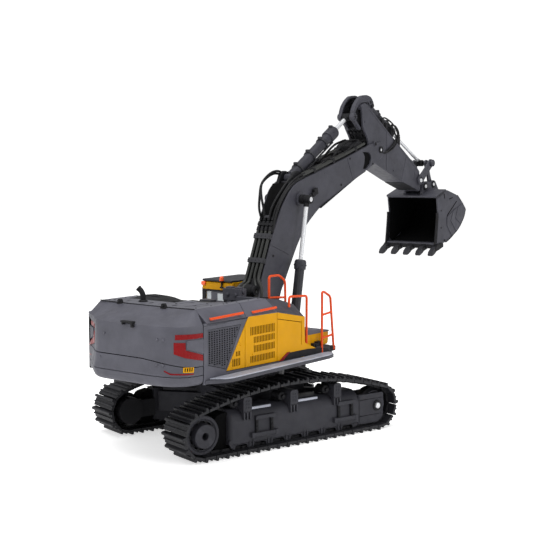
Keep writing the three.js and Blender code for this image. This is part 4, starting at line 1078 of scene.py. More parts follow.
def build_steps():
    """Silver step treads and the fascias under them."""
    for side, _, upper in SIDES:
        tread = soften([(-180, 91.4), (44, 91.4), (48.6, 93), (49.6, 97), (46, 103.6), (33, 107.2),
                        (-157, 107.2), (-168, 104.4)], [0, 0, 2, 3, 4, 3, 3, 3], 3)
        grooves = [block(-160, 46, 93.6 + i * 2.1, 94.2 + i * 2.1, 103.8, 106) for i in range(6)]
        piece("step_tread_" + side, [prism(tread, 102.9, 104.3, "z")], SILVER, "upper", upper, bevel=0.5,
              hides=["step_" + side], holes=grooves)
        fascia = soften([(-188, 91.4), (47, 91.4), (51, 97), (47, 103.8), (33.5, 106.6), (-157, 106.6),
                         (-169, 103.6)], [0, 2, 3, 4, 3, 3, 3], 3)
        piece("step_fascia_" + side, [prism(fascia, 98.6, 102.8, "z")], BOOM_GREY, "upper", upper, bevel=0.4,
              slot="frame_grey")


def build_rails():
    """Orange deck rails and handrails."""
    y = -90.4
    for name, x0, x1 in (("rear", -182.6, -120), ("front", -107.4, -57.3)):
        shells = [bar((x0 + 3.6, y - 0.8, 170.0), (x1 - 0.4, y - 0.8, 171.2), 1.5, 16, 0.7)]
        for x in (x0 + 9, x1 - 6):
            shells.append(bar((x, y - 0.8, 170.4), (x, y + 5, 169.6), 1.0, 12))
        piece("deck_rail_bar_" + name, shells, ORANGE, "upper", bevel=0, hides=["deck_rail_" + name])
    y = -60
    loop = soften([(-31.5, y, 175.4), (-31.5, y, 204.4), (-11.2, y, 204.2), (1.3, y, 196.4), (2.2, y, 166)],
                  4, 5, closed=False)
    piece("handrail_a", [tube(loop, 1.5, 14), tube([(-31.4, y, 178.0), (2.0, y, 175.6)], 1.4, 12)], ORANGE,
          "upper", bevel=0, hides=["handrail_inner"])
    y = -86.5
    loop = soften([(-26.2, y, 168), (-26.0, y, 180.8), (10.8, y, 178.6), (10.4, y, 112.4)], 4, 5,
                  closed=False)
    piece("handrail_b", [tube(loop, 1.5, 14)], ORANGE, "upper", bevel=0, hides=["handrail_outer"])
    y = -91.0
    loop = soften([(37.8, y, 104), (37.8, y, 181.2), (42.4, y, 180.8), (56, y, 174.2), (64.4, y, 105)], 4, 5,
                  closed=False)
    cross = [tube([(37.8, y, 152), (58.6, y, 153.8)], 1.4, 12),
             tube([(37.8, y, 122.4), (62, y, 124.6)], 1.4, 12)]
    piece("handrail_c", [tube(loop, 1.5, 14)] + cross, ORANGE, "upper", bevel=0, hides=["handrail_front"])


# ------------------------------------------------------------------ cab
def build_cab_shell():
    """Cab body with its openings, rear frame and glass."""
    x0, x1, y0, y1 = CAB_BOX
    outline = soften([(x0, CAB_FLOOR), (x1, CAB_FLOOR), (x1, 140), (x1 - 13, CAB_TOP), (x0, CAB_TOP)],
                     [2, 4, 6, 5, 3], 3)
    inner = [(x0 + 2, CAB_FLOOR + 2), (x1 - 2, CAB_FLOOR + 2), (x1 - 2, 140), (x1 - 15, CAB_TOP - 2),
             (x0 + 2, CAB_TOP - 2)]
    openings = [prism(inner, y0 + 2, y1 - 2), block(x0 - 2, x0 + 4, y0 + 6, y1 - 6, 141, 176),
                block(x1 - 20, x1 + 3, y0 + 5, y1 - 5, 118, 178),
                block(x0 + 8, x1 - 18, y0 - 2, y0 + 4, 140, 177),
                block(x0 + 24, x1 - 12, y1 - 4, y1 + 2, 110, 178),
                block(x0 + 5, x0 + 20, y1 - 4, y1 + 2, 142, 178)]
    piece("cab_body", [prism(outline, y0, y1)], YELLOW, "upper", bevel=0.6, hides=["cab_shell"],
          holes=openings)
    pillars = [block(x0 - 0.8, x0 + 3, y1 - 6, y1 + 0.2, 104, 177.4),
               block(x0 - 0.8, x0 + 3, y0 - 0.2, y0 + 4, 104, 177.4),
               block(x0 - 0.6, x0 + 1.4, y0 + 2, y1 - 4, 104, 141),
               block(x0 - 0.4, x0 + 1.4, y0 + 2, y1 - 4, 172.8, 175.2),
               block(x0 - 0.5, x0 + 1.8, 51, 53, 140, 174)]
    piece("cab_rear_frame", pillars, BLACK, "upper", bevel=0.4)
    backing = [block(x0 + 0.2, x0 + 1.6, 53, 75.6, 141, 174)]
    piece("cab_rear_panel", backing, SLATE, "upper", bevel=0.2)
    panes = [block(x0 + 1.2, x0 + 2.0, y0 + 5, y1 - 5, 140, 176.4),
             block(x0 - 0.2, x0 + 0.5, 54, 64, 161, 170.6),
             block(x0 + 10, x1 - 19, y0 + 0.6, y0 + 1.4, 139, 177.6),
             block(x0 + 5.5, x0 + 19.5, y1 - 1.6, y1 - 0.9, 141, 178.4)]
    screen = prism([(x1 - 2.0, 118), (x1 - 1.2, 118), (x1 - 1.2, 140), (x1 - 13.0, 178), (x1 - 13.8, 178),
                    (x1 - 2.0, 140)], y0 + 5.2, y1 - 5.2)
    piece("cab_glass", panes + [screen], GLASS, "upper", bevel=0)


def build_cab_inside():
    """Seat and console, seen through the glass."""
    seat = [prism(soften([(42, 116), (66, 116), (67, 124), (42, 124)], 3, 3), 52, 78),
            prism(soften([(36, 120), (43, 120), (41, 158), (34, 158)], 3, 3), 52, 78),
            prism(soften([(33, 160), (39, 160), (38, 170), (32, 170)], 2.4, 3), 56, 74),
            block(44, 62, 58, 72, 103, 117)]
    piece("cab_seat", seat, SEAT, "upper", bevel=1.2, segments=3)
    console = [block(84, 96, 54, 76, 103, 132), block(66, 82, 45, 50, 103, 130),
               block(66, 82, 80, 86, 103, 130), bar((74, 47.5, 129), (76, 47.5, 141), 1.2, 10),
               bar((74, 83, 129), (76, 83, 141), 1.2, 10)]
    piece("cab_console", console, BLACK, "upper", bevel=0.6)


def build_cab_roof():
    """Roof plate, upper band, corner lamp and beacon."""
    x0, x1, y0, y1 = CAB_BOX
    roof_plan = soften([(x0 - 2, y0), (x1 - 11, y0), (x1 - 7, y0 + 6), (x1 - 7, y1 - 6), (x1 - 11, y1),
                        (x0 - 2, y1)], 3, 3)
    piece("cab_roof_plate", [prism(roof_plan, 186.4, 188.8, "z")], DARK_GREY, "upper", bevel=0.5,
          hides=["cab_roof"])
    band = [block(x0 - 1.0, x0 + 1.6, y0 + 0.5, y1 - 0.5, 175.4, 185),
            block(x0, x1 - 14, y0 - 0.9, y0 + 1, 178.6, 186.2)]
    piece("cab_upper_band", band, YELLOW, "upper", bevel=0.5)
    lamp = [block(x0 - 3.0, x0 + 2, y1 - 7, y1 + 0.6, 180.4, 185.6)]
    piece("cab_corner_lamp", lamp, AMBER, "upper", bevel=1.2, segments=3)
    post = [bar((15.6, 55, 178.6), (15.6, 55, 187.4), 1.1, 12), block(14, 18, 53, 57, 178, 180),
            lathe([(0, 2.9), (1.2, 3.1), (1.8, 2.6)], (15.6, 55, 186.4), (0, 0, 1), 20)]
    piece("beacon_post", post, BLACK, "upper", bevel=0)
    dome = lathe([(0, 3.0), (2.4, 3.1), (4.4, 2.8), (5.8, 1.9), (6.4, 0.7)], (15.6, 55, 188.0), (0, 0, 1), 24)
    piece("beacon_dome", [dome], AMBER, "upper", bevel=0)


def build_cab_door():
    """The door with its glass, handle and hinges."""
    door = soften([(42.6, 110.6), (93.4, 110.6), (93.4, 150), (88, 177.4), (42.6, 177.4)], [1, 2, 2, 2, 1], 3)
    opening = soften([(47.5, 138), (88.5, 138), (88.5, 152), (84, 173), (47.5, 173)], 2, 3)
    handle = block(47, 55, 92.2, 94.0, 130, 132)
    hinges = [bar((41, 92.0, z - 4), (41, 92.0, z + 4), 1.1, 12) for z in (120, 168)]
    leaves = [block(41, 45.4, 91.2, 92.4, z - 3, z + 3) for z in (120, 168)]
    piece("cab_door_frame", [prism(door, 90.9, 92.5)], YELLOW, "cab_door", bevel=0.4, hides=["cab_door"],
          holes=[prism(opening, 88, 95)])
    piece("cab_door_glass", [prism(opening, 91.4, 91.9)], GLASS, "cab_door", bevel=0)
    piece("cab_door_fittings", [handle] + hinges + leaves, BLACK, "cab_door", bevel=0.2)


def build_middle_deck():
    """Fittings between the engine house and the boom foot."""
    piece("boom_side_housings", [block(-54, -22, 27.5, 62, 101.4, 150), block(-54, -26, -25, 26, 101.4, 152)],
          DARK_GREY, "upper", bevel=1.0, slot="frame_grey")
    shells = [block(-54, -42, -33, -5, 174, 188.4), block(-52, -44, -30, -22, 188, 190.4),
              block(-52, -44, -16, -8, 188, 190.4), block(-50, -46, -32, -6, 152, 175),
              block(-44, -32, 24, 42, 150, 170), block(-52, -36, 0, 18, 152, 168)]
    shells += [disc_y((-48, z), -34.4, -32.6, 2.6, 16, 0.4) for z in (178.4, 184.6)]
    shells += bolt((-54.4, -26, 181), (-1, 0, 0), 2.2, 1.6) + bolt((-54.4, -13, 181), (-1, 0, 0), 2.2, 1.6)
    piece("valve_blocks", shells, BOOM_GREY, "upper", bevel=0.7, slot="frame_grey")
    light = [block(-53, -44, 44, 60, 150, 166), block(-53, -45, -17.5, -10.5, 168.6, 173.4)]
    piece("valve_covers", light, SLATE, "upper", bevel=0.6)
    for node, mat in (("upper_frame", FRAME_GREY), ("swing_motor", STEEL), ("battery", BLACK),
                      ("control_board", CIRCUIT), ("power_switch", RED), ("boom_foot_pin", STEEL)):
        carry(node, mat, 0.4)
    carry("swing_pinion", STEEL, 0.15)


build_counterweight()
build_deck()
build_hood()
for which, _, upper_place in SIDES:
    build_side(which, upper_place)
build_tank()
build_front_deck()
build_steps()
build_rails()
build_cab_shell()
build_cab_inside()
build_cab_roof()
build_cab_door()
build_middle_deck()


# ------------------------------------------------------------------ boom
def arc_points(centre, radius, start, end, count):
    """Points on an arc between two angles in degrees."""
    return [(centre[0] + radius * math.cos(math.radians(start + (end - start) * i / count)),
             centre[1] + radius * math.sin(math.radians(start + (end - start) * i / count)))
            for i in range(count + 1)]


BOOM_BACK = [(263, 371), (207, 353), (148, 336), (83, 318), (69, 308), (51.5, 283), (36.5, 248), (24.5, 219),
             (13.5, 193), (-2, 150)]
BOOM_BELLY = [(63, 186), (91.5, 234), (113.5, 262), (139.5, 283), (183, 303), (226, 323), (252, 333)]
BOOM_WAIST = ((150, 19.0), (176, 13.5), (250, 13.5), (283, 16.0), (316, 19.0))


def boom_outline():
    """The boom's side outline: foot, belly, fork and back."""
    return (arc_points(BOOM_FOOT, 12.5, -170, -10, 10) + soften(BOOM_BELLY, 12, 4, closed=False)
            + arc_points(STICK_PIVOT, 12, -60, 95, 10) + soften(BOOM_BACK, 12, 4, closed=False))


def half_width(z):
    """Half the width of the boom at a height: it narrows below the knee."""
    for (z0, h0), (z1, h1) in zip(BOOM_WAIST, BOOM_WAIST[1:]):
        if z0 <= z <= z1:
            t = (z - z0) / (z1 - z0)
            return h0 + (h1 - h0) * t * t * (3 - 2 * t)
    return BOOM_HALF


def waisted(shells):
    """Draws the sides of shells in with the boom."""
    return [([(x, y * half_width(z) / BOOM_HALF, z) for x, y, z in vertices], faces)
            for vertices, faces in flat(shells)]


def line_cut(a, b, width, y0, y1):
    """A thin straight cutter between two [x, z] points."""
    along = (Vector(b) - Vector(a)).normalized() * width * 0.85
    n = Vector((-along.y, along.x))
    return prism([tuple(Vector(a) - n), tuple(Vector(b) - n), tuple(Vector(b) + n), tuple(Vector(a) + n)], y0,
                 y1)


def offset_path(path, out, steps=3):
    """Moves an [x, z] path sideways to its left by out, after rounding its corners."""
    path = [Vector(p) for p in soften(path, 10, steps, closed=False)]
    moved = []
    for i, p in enumerate(path):
        ahead = (path[min(i + 1, len(path) - 1)] - path[max(i - 1, 0)]).normalized()
        moved.append((p.x - ahead.y * out, p.y + ahead.x * out))
    return moved


def ribbon(path, near, far, *steps):
    """The outline between two offsets of one path."""
    return offset_path(path, near, *steps) + offset_path(path, far, *steps)[::-1]


def both_sides(y0, y1):
    """The span from y0 to y1 and its mirror image."""
    return ((y0, y1), (-y1, -y0))


def twin_prisms(outline, low, high):
    """A prism on each side of the middle."""
    return [prism(outline, y0, y1) for y0, y1 in both_sides(low, high)]


def twin_discs(centre, low, high, *sizes):
    """A disc across Y on each side of the middle."""
    return [disc_y(centre, y0, y1, *sizes) for y0, y1 in both_sides(low, high)]


def boom_skin():
    """The boom's box as rings of points that follow its outline from foot to fork."""
    outline = boom_outline()
    dense = []
    for i, p in enumerate(outline):
        a, b = Vector(p), Vector(outline[(i + 1) % len(outline)])
        parts = max(1, int((b - a).length / 9))
        dense += [tuple(a.lerp(b, k / parts)) for k in range(parts)]
    return prism(dense, -BOOM_HALF, BOOM_HALF)


def build_boom_box():
    """The boom with its fork, panel lines, fork pockets and painted shade in the pockets."""
    fork_half = STICK_HALF + 0.5
    crescent = [(241, 360.4), (259.3, 359.6), (264.2, 355.5), (265.4, 350), (262.2, 342.7), (251.6, 335.4),
                (243.4, 335.2), (247.6, 345), (248, 353), (244.6, 358)]
    holes = [prism(arc_points(STICK_PIVOT, 44, 0, 350, 35), -fork_half, fork_half),
             prism([(80, 310), (96, 313.5), (130, 328), (130, 350), (80, 350)], -7.6, 7.6),
             prism([(252, 300), (330, 300), (340, 400), (255, 410)], -fork_half, fork_half)]
    for y0, y1 in both_sides(BOOM_HALF - 0.5, BOOM_HALF + 2):
        for a, b in (((145.9, 331.4), (156.6, 292.0)), ((202.2, 350.8), (217.2, 320.6))):
            holes.append(line_cut(a, b, 0.55, y0, y1))
        ring = (122.4, 293.7)
        groove = arc_points(ring, 9.4, -80, 60, 14) + arc_points(ring, 8.9, 60, -80, 14)
        holes.append(prism(groove, y0, y1))
    for y0, y1 in both_sides(BOOM_HALF - 0.8, BOOM_HALF + 1):
        holes += waisted([line_cut((30, 238), (71, 223), 0.5, y0, y1)])
    for y0, y1 in both_sides(BOOM_HALF - 1.8, BOOM_HALF + 2):
        holes.append(prism(soften(crescent, 1.5, 2), y0, y1))
    piece("boom_box", waisted([boom_skin()]), BOOM_GREY, "boom", bevel=0.9, segments=3, hides=["boom"],
          holes=holes)
    # Near-black skins set just inside the fork pockets: painted shade in the recesses.
    pocket = [(242.4, 359.8), (258.9, 359.0), (263.6, 355.1), (264.7, 350), (261.6, 343.1), (251.4, 336.0),
              (244.4, 335.8), (248.2, 345), (248.6, 353), (245.4, 358)]
    shade = twin_prisms(soften(pocket, 1.4, 2), BOOM_HALF - 2.0, BOOM_HALF - 1.5)
    piece("boom_fork_pocket_shade", shade, VOID, "boom", bevel=0)


def build_boom_pivots():
    """Bosses, ram lugs, pin knobs and caps at the boom's pivots."""
    fittings = []
    for y0, y1 in both_sides(BOOM_HALF - 2.4, 20.4):
        fittings.append(ring_y(BOOM_PIN, [(y0, 5.8), (y0, 9.4), (y1 + 0.6, 9.0), (y1 + 0.6, 5.8)], 32))
    for side in (-1, 1):
        face = side * (BOOM_HALF - 0.3)
        fittings.append(lathe([(0, 2.4), (0, 4.2), (1.3, 3.9), (1.3, 2.4)], (275.4, face, 371.7),
                              (0, side, 0), 24, ring=True))
    for y0, y1 in both_sides(BOOM_HALF - 2.4, 26.2):
        fittings.append(disc_y(BOOM_PIN, y0, y1, 5.5, 28, 0.3))
    ear = soften([(76, 313), (106, 322), (101, 331), (92, 333.4), (84, 330)], 3, 4)
    lugs = twin_prisms(ear, 7.6, 12.4)
    piece("stick_ram_lugs", lugs, BLACK, "boom", bevel=0.4, slot="boom_grey")
    piece("boom_bosses", fittings, BOOM_GREY, "boom", bevel=0.25)
    pins = []
    for side in (-1, 1):
        face = side * (BOOM_HALF - 0.3)
        for x, z in ((209.4, 350.0), (188.1, 313.4), (270, 343)):
            pins += bolt((x, face, z), (0, side, 0), 1.4, 1.0, 12)
        for x, z in ((87.6, 262.4), (38, 223.0)):
            pins += waisted(bolt((x, face, z), (0, side, 0), 1.4, 1.5, 12))
    for y0, y1 in both_sides(20.8, 26.3):
        pins.append(ring_y(BOOM_PIN, [(y0, 5.3), (y0, 6.2), (y1, 6.2), (y1, 5.3)], 32))
    for y0, y1 in both_sides(BOOM_HALF - 0.4, 22.6):
        square = soften([(119.2, 299.4), (127.4, 302.4), (125.4, 310.6), (117.6, 307.6)], 0.8, 2)
        pins.append(prism(square, y0, y1))
        pins.append(prism(soften([(115.6, 297.6), (121.4, 299.6), (119.8, 305), (114.4, 303)], 0.8, 2), y0,
                          y1 - 1.6))
    for y0, y1 in both_sides(BOOM_HALF - 0.4, 20.6):
        pins.append(ring_y(STICK_PIVOT, [(y0, 2.4), (y0, 5.0), (y1, 4.8), (y1, 2.4)], 28))
        pins.append(disc_y((275.4, 371.7), y0, y1 - 1.0, 2.3, 20))
        pins.append(tube([(296, (y0 + y1) / 2, 359.6), (301, (y0 + y1) / 2, 358.4),
                          (306, (y0 + y1) / 2, 359.2)], 0.9, 10))
    piece("boom_pin_knobs", pins, BLACK, "boom", bevel=0.3)
    caps = twin_discs(STICK_RAM_BASE, 12.2, 13.2, 3.0, 20, 0.4)
    piece("boom_pin_caps", caps, CHROME, "boom", bevel=0)
    tube_pin = [disc_y(STICK_PIVOT, -20.2, 20.2, 2.4, 24, 0.4)]
    piece("stick_pin_bar", tube_pin, CHROME, "boom", bevel=0, hides=["stick_pin"])


def build_boom_covers():
    """Back flange, a painted shade strip along the belly, a near-black strip down the back at the knee, and
    heel cover.
    """
    spine = [(250, 366.8)] + BOOM_BACK[1:4]
    flange = ribbon(spine, -0.3, 3.4)
    piece("boom_back_flange", [prism(flange, -17.2, 17.2)], DARK_GREY, "boom", bevel=0.3, slot="boom_grey")
    # A black strip along the lower belly edge: painted shade.
    belly = ribbon(BOOM_BELLY[3:], 0.4, -1.1)
    piece("boom_belly_shade_strip", [prism(belly, -18.2, 18.2)], BLACK, "boom", bevel=0.3, slot="boom_grey")
    # A near-black strip down the boom's back at the knee.
    back = [(77, 316), (68, 307), (51.5, 283), (37, 249), (25, 220), (13.5, 193)]
    knee = ribbon(back, -0.5, 2.2)
    piece("boom_knee_dark_strip", waisted([prism(knee, -16.6, 16.6)]), VOID, "boom", bevel=0.3)
    heel = [(13.9, 194), (-1.6, 151), (-3.6, 151.8), (11.9, 195)]
    foot = [prism(heel, -13.2, 13.2), disc_y((2.4, 180.6), -9.6, 9.6, 7.6, 36, 0.6),
            ring_y((2.4, 180.6), [(-13.6, 3.0), (-13.6, 6.6), (13.6, 6.6), (13.6, 3.0)], 36)]
    piece("boom_heel_cover", foot, BLACK, "boom", bevel=0.3)


def back_point(z, out):
    """A point off the boom's back at a height, and the two directions along and away from it."""
    for a, b in zip(BOOM_BACK, BOOM_BACK[1:]):
        if b[1] <= z <= a[1]:
            t = (z - a[1]) / (b[1] - a[1])
            along = Vector((a[0] - b[0], a[1] - b[1])).normalized()
            away = Vector((-along.y, along.x))
            return Vector((a[0] + (b[0] - a[0]) * t, z)) + away * out, along, away


def back_plate(z, low, high, reach, thick, half):
    """A bar across the boom's back, from low to high along it."""
    at, along, away = back_point(z, 0)
    corners = [at + along * low - away * thick, at + along * high - away * thick,
               at + along * high + away * reach, at + along * low + away * reach]
    return prism([tuple(c) for c in corners], -half, half)


PIPE_ROWS = (9.9, 3.4, -3.1, -9.6)
PIPE_FEET = (
    [(8, 10.2, 190), (0, 10.6, 186), (-9, 11, 178), (-14, 11, 166)],
    [(8, 3.4, 190), (0, 3.2, 186), (-9, 3, 178), (-14, 3, 166)],
    [(10.6, -5.6, 191), (7.6, -9.2, 184), (3.6, -11.8, 174), (0.4, -12.4, 162)],
    [(9.8, -12.4, 192), (8.4, -17.2, 184), (5.8, -19.4, 174), (4.0, -19.6, 160)],
)


def build_boom_pipes():
    """Steel pipes up the back of the boom, in clamps, and hoses over the knee to the stick."""
    pipes = []
    for k, y in enumerate(PIPE_ROWS):
        path = [(x, y, z) for x, z in (tuple(back_point(z, 2.8)[0]) for z in (256, 240, 226, 212, 198))]
        pipes.append(tube(path + PIPE_FEET[k], 2.15, 14, 4))
    piece("boom_back_pipes", pipes, PIPE, "boom", bevel=0)
    clamps = []
    for z, tall in ((247.0, 7.0), (216.2, 6.4)):
        clamps.append(back_plate(z, -tall / 2, tall / 2, 5.6, 1.0, 12.9))
        for y in (-12.9, -6.4, 0.1, 6.6, 12.6):
            spot, _, away = back_point(z, 5.2)
            clamps += bolt((spot.x, y * 0.96, spot.y), (away.x, 0, away.y), 1.0, 1.0)
    piece("boom_pipe_clamps", clamps, DARK_GREY, "boom", bevel=0.4, slot="boom_grey")
    couplers = []
    for y in PIPE_ROWS:
        ends = [back_point(z, 3.0)[0] for z in (254, 259, 260, 266, 267, 271)]
        spots = [Vector((p.x, y, p.y)) for p in ends]
        couplers.append(bar(spots[0], spots[1], 2.9, 6))
        couplers.append(bar(spots[2], spots[3], 2.6, 8, 0.3))
        couplers.append(bar(spots[4], spots[5], 2.2, 12, 0.3))
    couplers.append(back_plate(262.5, -1.6, 1.6, 4.4, 1.0, 12.6))
    piece("boom_pipe_couplers", couplers, BLACK, "boom", bevel=0.25)
    piece("boom_coupler_plate", [back_plate(271.5, -1.8, 1.8, 6.0, 1.0, 4.2)], DARK_GREY, "boom", bevel=0.4,
          slot="boom_grey")
    x0, z0 = back_point(270, 3.0)[0]
    loops = [[(x0, 9.9, z0), (38.2, 9.6, 284), (38.6, 9.0, 301), (41.6, 8.6, 315), (54, 9.4, 323.6),
              (70, 10.6, 329), (84, 12.2, 329)],
             [(x0, 3.4, z0), (39.6, 3.4, 284), (36, 4.4, 301), (37.6, 5.4, 315), (50, 7.4, 324.4),
              (66, 9.4, 331.0), (80, 10.4, 332.6), (92, 12.4, 330)],
             [(x0, -3.1, z0), (47, -3.6, 283), (54.4, -5, 295), (62.6, -7.6, 306.4), (71, -10, 317),
              (80, -12.6, 326)], [(x0, -9.6, z0), (48.2, -10, 283), (56.4, -11.6, 296), (65, -13, 307),
                                  (76, -14.4, 317.6), (90, -15.4, 325.4), (104, -16, 329.4)],
             [(38.0, -12.4, 253), (41.2, -12.8, 266), (46.6, -13.2, 280), (54, -14.0, 293),
              (65, -15.4, 306.4), (80, -16.6, 317.8), (101, -17, 325.6)], ]
    piece("boom_knee_hoses", [tube(path, 1.6, 12, 5) for path in loops], HOSE, "boom", bevel=0)
    runs = []
    top = offset_path([(252, 367.6), (207, 353), (148, 336), (99, 322.4)], -4.4)
    for y, r in ((-15.8, 2.0), (-11.2, 2.0), (11.2, 2.0), (15.8, 2.0)):
        runs.append(tube([(x, y, z) for x, z in top], r, 12))
    piece("boom_top_pipes", runs, PIPE, "boom", bevel=0)
    holders = []
    for x, z in ((126, 330.0), (172, 343.2), (228, 359.8)):
        for y0, y1 in both_sides(8.8, 18.2):
            holders.append(prism([(x - 2.4, z - 1), (x + 2.4, z + 0.4), (x + 0.6, z + 7.4),
                                  (x - 4.2, z + 6.0)], y0, y1))
    piece("boom_top_clamps", holders, BLACK, "boom", bevel=0.4)
    ends = [[(168, -8, 344), (184, -7.6, 352), (198, -7.4, 364), (212, -7.6, 372.6), (226, -8, 376),
             (238, -9, 377)], [(196, -13.4, 354), (212, -13.2, 361), (228, -12.6, 369), (242, -11.6, 376)],
            [(168, 8, 344), (184, 8, 353), (200, 8, 364), (214, 8, 371), (230, 8.6, 375), (240, 9.4, 377)],
            [(150, -12, 341.6), (166, -10, 349), (180, -8, 350.6), (190, -6, 352)], ]
    piece("boom_end_hoses", [tube(path, 1.6, 12, 5) for path in ends], HOSE, "boom", bevel=0)
    manifold = [prism(soften([(226, 360), (246, 366.6), (245, 375), (235, 374.6), (225, 368)], 1, 2), -15,
                      15)]
    for y in (-12, -6, 0, 6, 12):
        manifold.append(bar((240, y, 372), (238.4, y, 377.4), 2.0, 6))
    manifold.append(prism([(200, 352), (210, 355), (208, 361), (198, 358)], -6, 6))
    piece("boom_end_manifold", manifold, BLACK, "boom", bevel=0.35)


# ------------------------------------------------------------------ rams
def ram_axis(base, pin, y):
    """A ram's start, end and direction, at the distance y from the middle."""
    start, end = Vector((base[0], y, base[1])), Vector((pin[0], y, pin[1]))
    return start, end, (end - start).normalized()


def build_ram(name, base, pin, y, length, radius, eye, width, body, node, rings=(), pipe_side=0.0,
              gland=14.0):
    """Barrel of a ram with foot eye, bands, gland bolts and feed pipe; node is the CAD part it replaces."""
    start, _, along = ram_axis(base, pin, y)
    profile = [(eye - 1, radius * 0.86), (eye + 3.4, radius), (length - gland, radius),
               (length - gland, radius * 1.2), (length - gland + 1, radius * 1.26),
               (length - 3.4, radius * 1.26), (length - 1, radius * 1.14), (length, radius * 0.9),
               (length, radius * 0.6), (eye + 8, radius * 0.6), (eye + 8, 0.4), (eye - 1, 0.4)]
    shells = [lathe(profile, start, along, 32, ring=True),
              lathe([(-width / 2, 2.1), (-width / 2, eye - 0.6), (-width / 2 + 0.6, eye),
                     (width / 2 - 0.6, eye), (width / 2, eye - 0.6), (width / 2, 2.1)], (base[0], y, base[1]),
                    (0, 1, 0), 28, ring=True), bar(start + along * (eye - 2.4), start + along * (eye + 3),
                                                   min(width * 0.46, radius * 0.9), 20)]
    piece(name + "_tube", shells, RAM_GREY, body, bevel=0.2, hides=[node])
    trim = []
    up = along.cross(Y_AXIS)
    for at, thick in rings:
        trim.append(lathe([(at - thick, radius * 0.7), (at - thick, radius + 1.6), (at + thick, radius + 1.6),
                           (at + thick, radius * 0.7)], start, along, 32, ring=True))
        lug = start + along * at + up * (radius + 2.2)
        trim.append(bar(lug - Y_AXIS * 2.8, lug + Y_AXIS * 2.8, 2.1, 12, 0.4))
    for k in range(6):
        a = 2 * math.pi * k / 6
        out = up * math.cos(a) + Y_AXIS * math.sin(a)
        spot = start + along * (length - gland * 0.55) + out * radius * 1.2
        trim.append(bar(spot, spot + out * 1.1, 1.1, 10, 0.2))
    if pipe_side:
        off = up * pipe_side * (radius + 0.6) - Y_AXIS * radius * 0.62
        path = [start + along * (eye + 2) + off * 0.8, start + along * (eye + 8) + off, start
                + along * (length - gland - 1) + off, start + along * (length - gland + 2.4) + off * 1.05]
        trim.append(tube([tuple(p) for p in path], 1.4, 10))
    piece(name + "_trim", trim, DARK_GREY, body, bevel=0.25)


def build_rod(name, base, pin, y, begin, radius, eye, width, body, node, piston):
    """Rod of a ram from inside its barrel to the pin, with its eye and its piston."""
    start, end, along = ram_axis(base, pin, y)
    reach = (end - start).length
    piece(name, [bar(start + along * (begin + 3), start + along * (reach - eye + 1.6), radius, 24)], CHROME,
          body, bevel=0, hides=[node], slot="chrome_rod")
    head = [lathe([(-width / 2, 2.0), (-width / 2, eye - 0.5), (-width / 2 + 0.5, eye),
                   (width / 2 - 0.5, eye), (width / 2, eye - 0.5), (width / 2, 2.0)], (pin[0], y, pin[1]),
                  (0, 1, 0), 28, ring=True), bar(start + along * (reach - eye - 4.5), start
                                                 + along * (reach - eye + 1), radius + 0.9, 20, 0.4),
            bar(start + along * begin, start + along * (begin + 4), piston, 20)]
    piece(name + "_eye", head, BLACK, body, bevel=0.15)


def build_rams():
    """Lift rams, stick ram and bucket ram."""
    for side, y in (("left", LIFT_Y), ("right", -LIFT_Y)):
        build_ram("lift_cylinder_" + side, LIFT_BASE, BOOM_PIN, y, 106, 6.3, 6, 6, "lift_barrel_" + side,
                  "lift_barrel_" + side, pipe_side=1.0, gland=13)
        build_rod("lift_piston_" + side, LIFT_BASE, BOOM_PIN, y, 98, 2.9, 5.6, 7, "lift_rod_" + side,
                  "lift_rod_" + side, 3.4)
        out = math.copysign(1, y)
        knob = [disc_y(BOOM_PIN, out * 26.8, out * 36.6, 1.95, 16),
                disc_y(BOOM_PIN, out * 33.4, out * 36.6, 6.0, 28, 0.5)]
        piece("lift_pin_knob_" + side, knob, BLACK, "lift_rod_" + side, bevel=0.1)
        piece("lift_pin_cap_" + side, [disc_y(BOOM_PIN, out * 36.4, out * 37.4, 3.2, 24, 0.6)], CHROME,
              "lift_rod_" + side, bevel=0)
    build_ram("stick_cylinder", STICK_RAM_BASE, STICK_RAM_PIN, 0, 124, 7.3, 6, 12, "stick_barrel",
              "stick_barrel", rings=((22, 1.6), (54.6, 1.6), (88.7, 1.6), (119.6, 2.4)), pipe_side=-1.0,
              gland=20)
    build_rod("stick_piston", STICK_RAM_BASE, STICK_RAM_PIN, 0, 56, 3.0, 5.2, 12, "stick_rod", "stick_rod",
              3.7)
    build_ram("bucket_cylinder", BUCKET_RAM_BASE, ROCKER_TOP, 0, 92, 6, 5.5, 11, "bucket_barrel",
              "bucket_barrel", rings=((40, 1.2), (70, 1.2)), gland=12)
    build_rod("bucket_piston", BUCKET_RAM_BASE, ROCKER_TOP, 0, 62, 2.5, 5, 10, "bucket_rod", "bucket_rod",
              3.0)


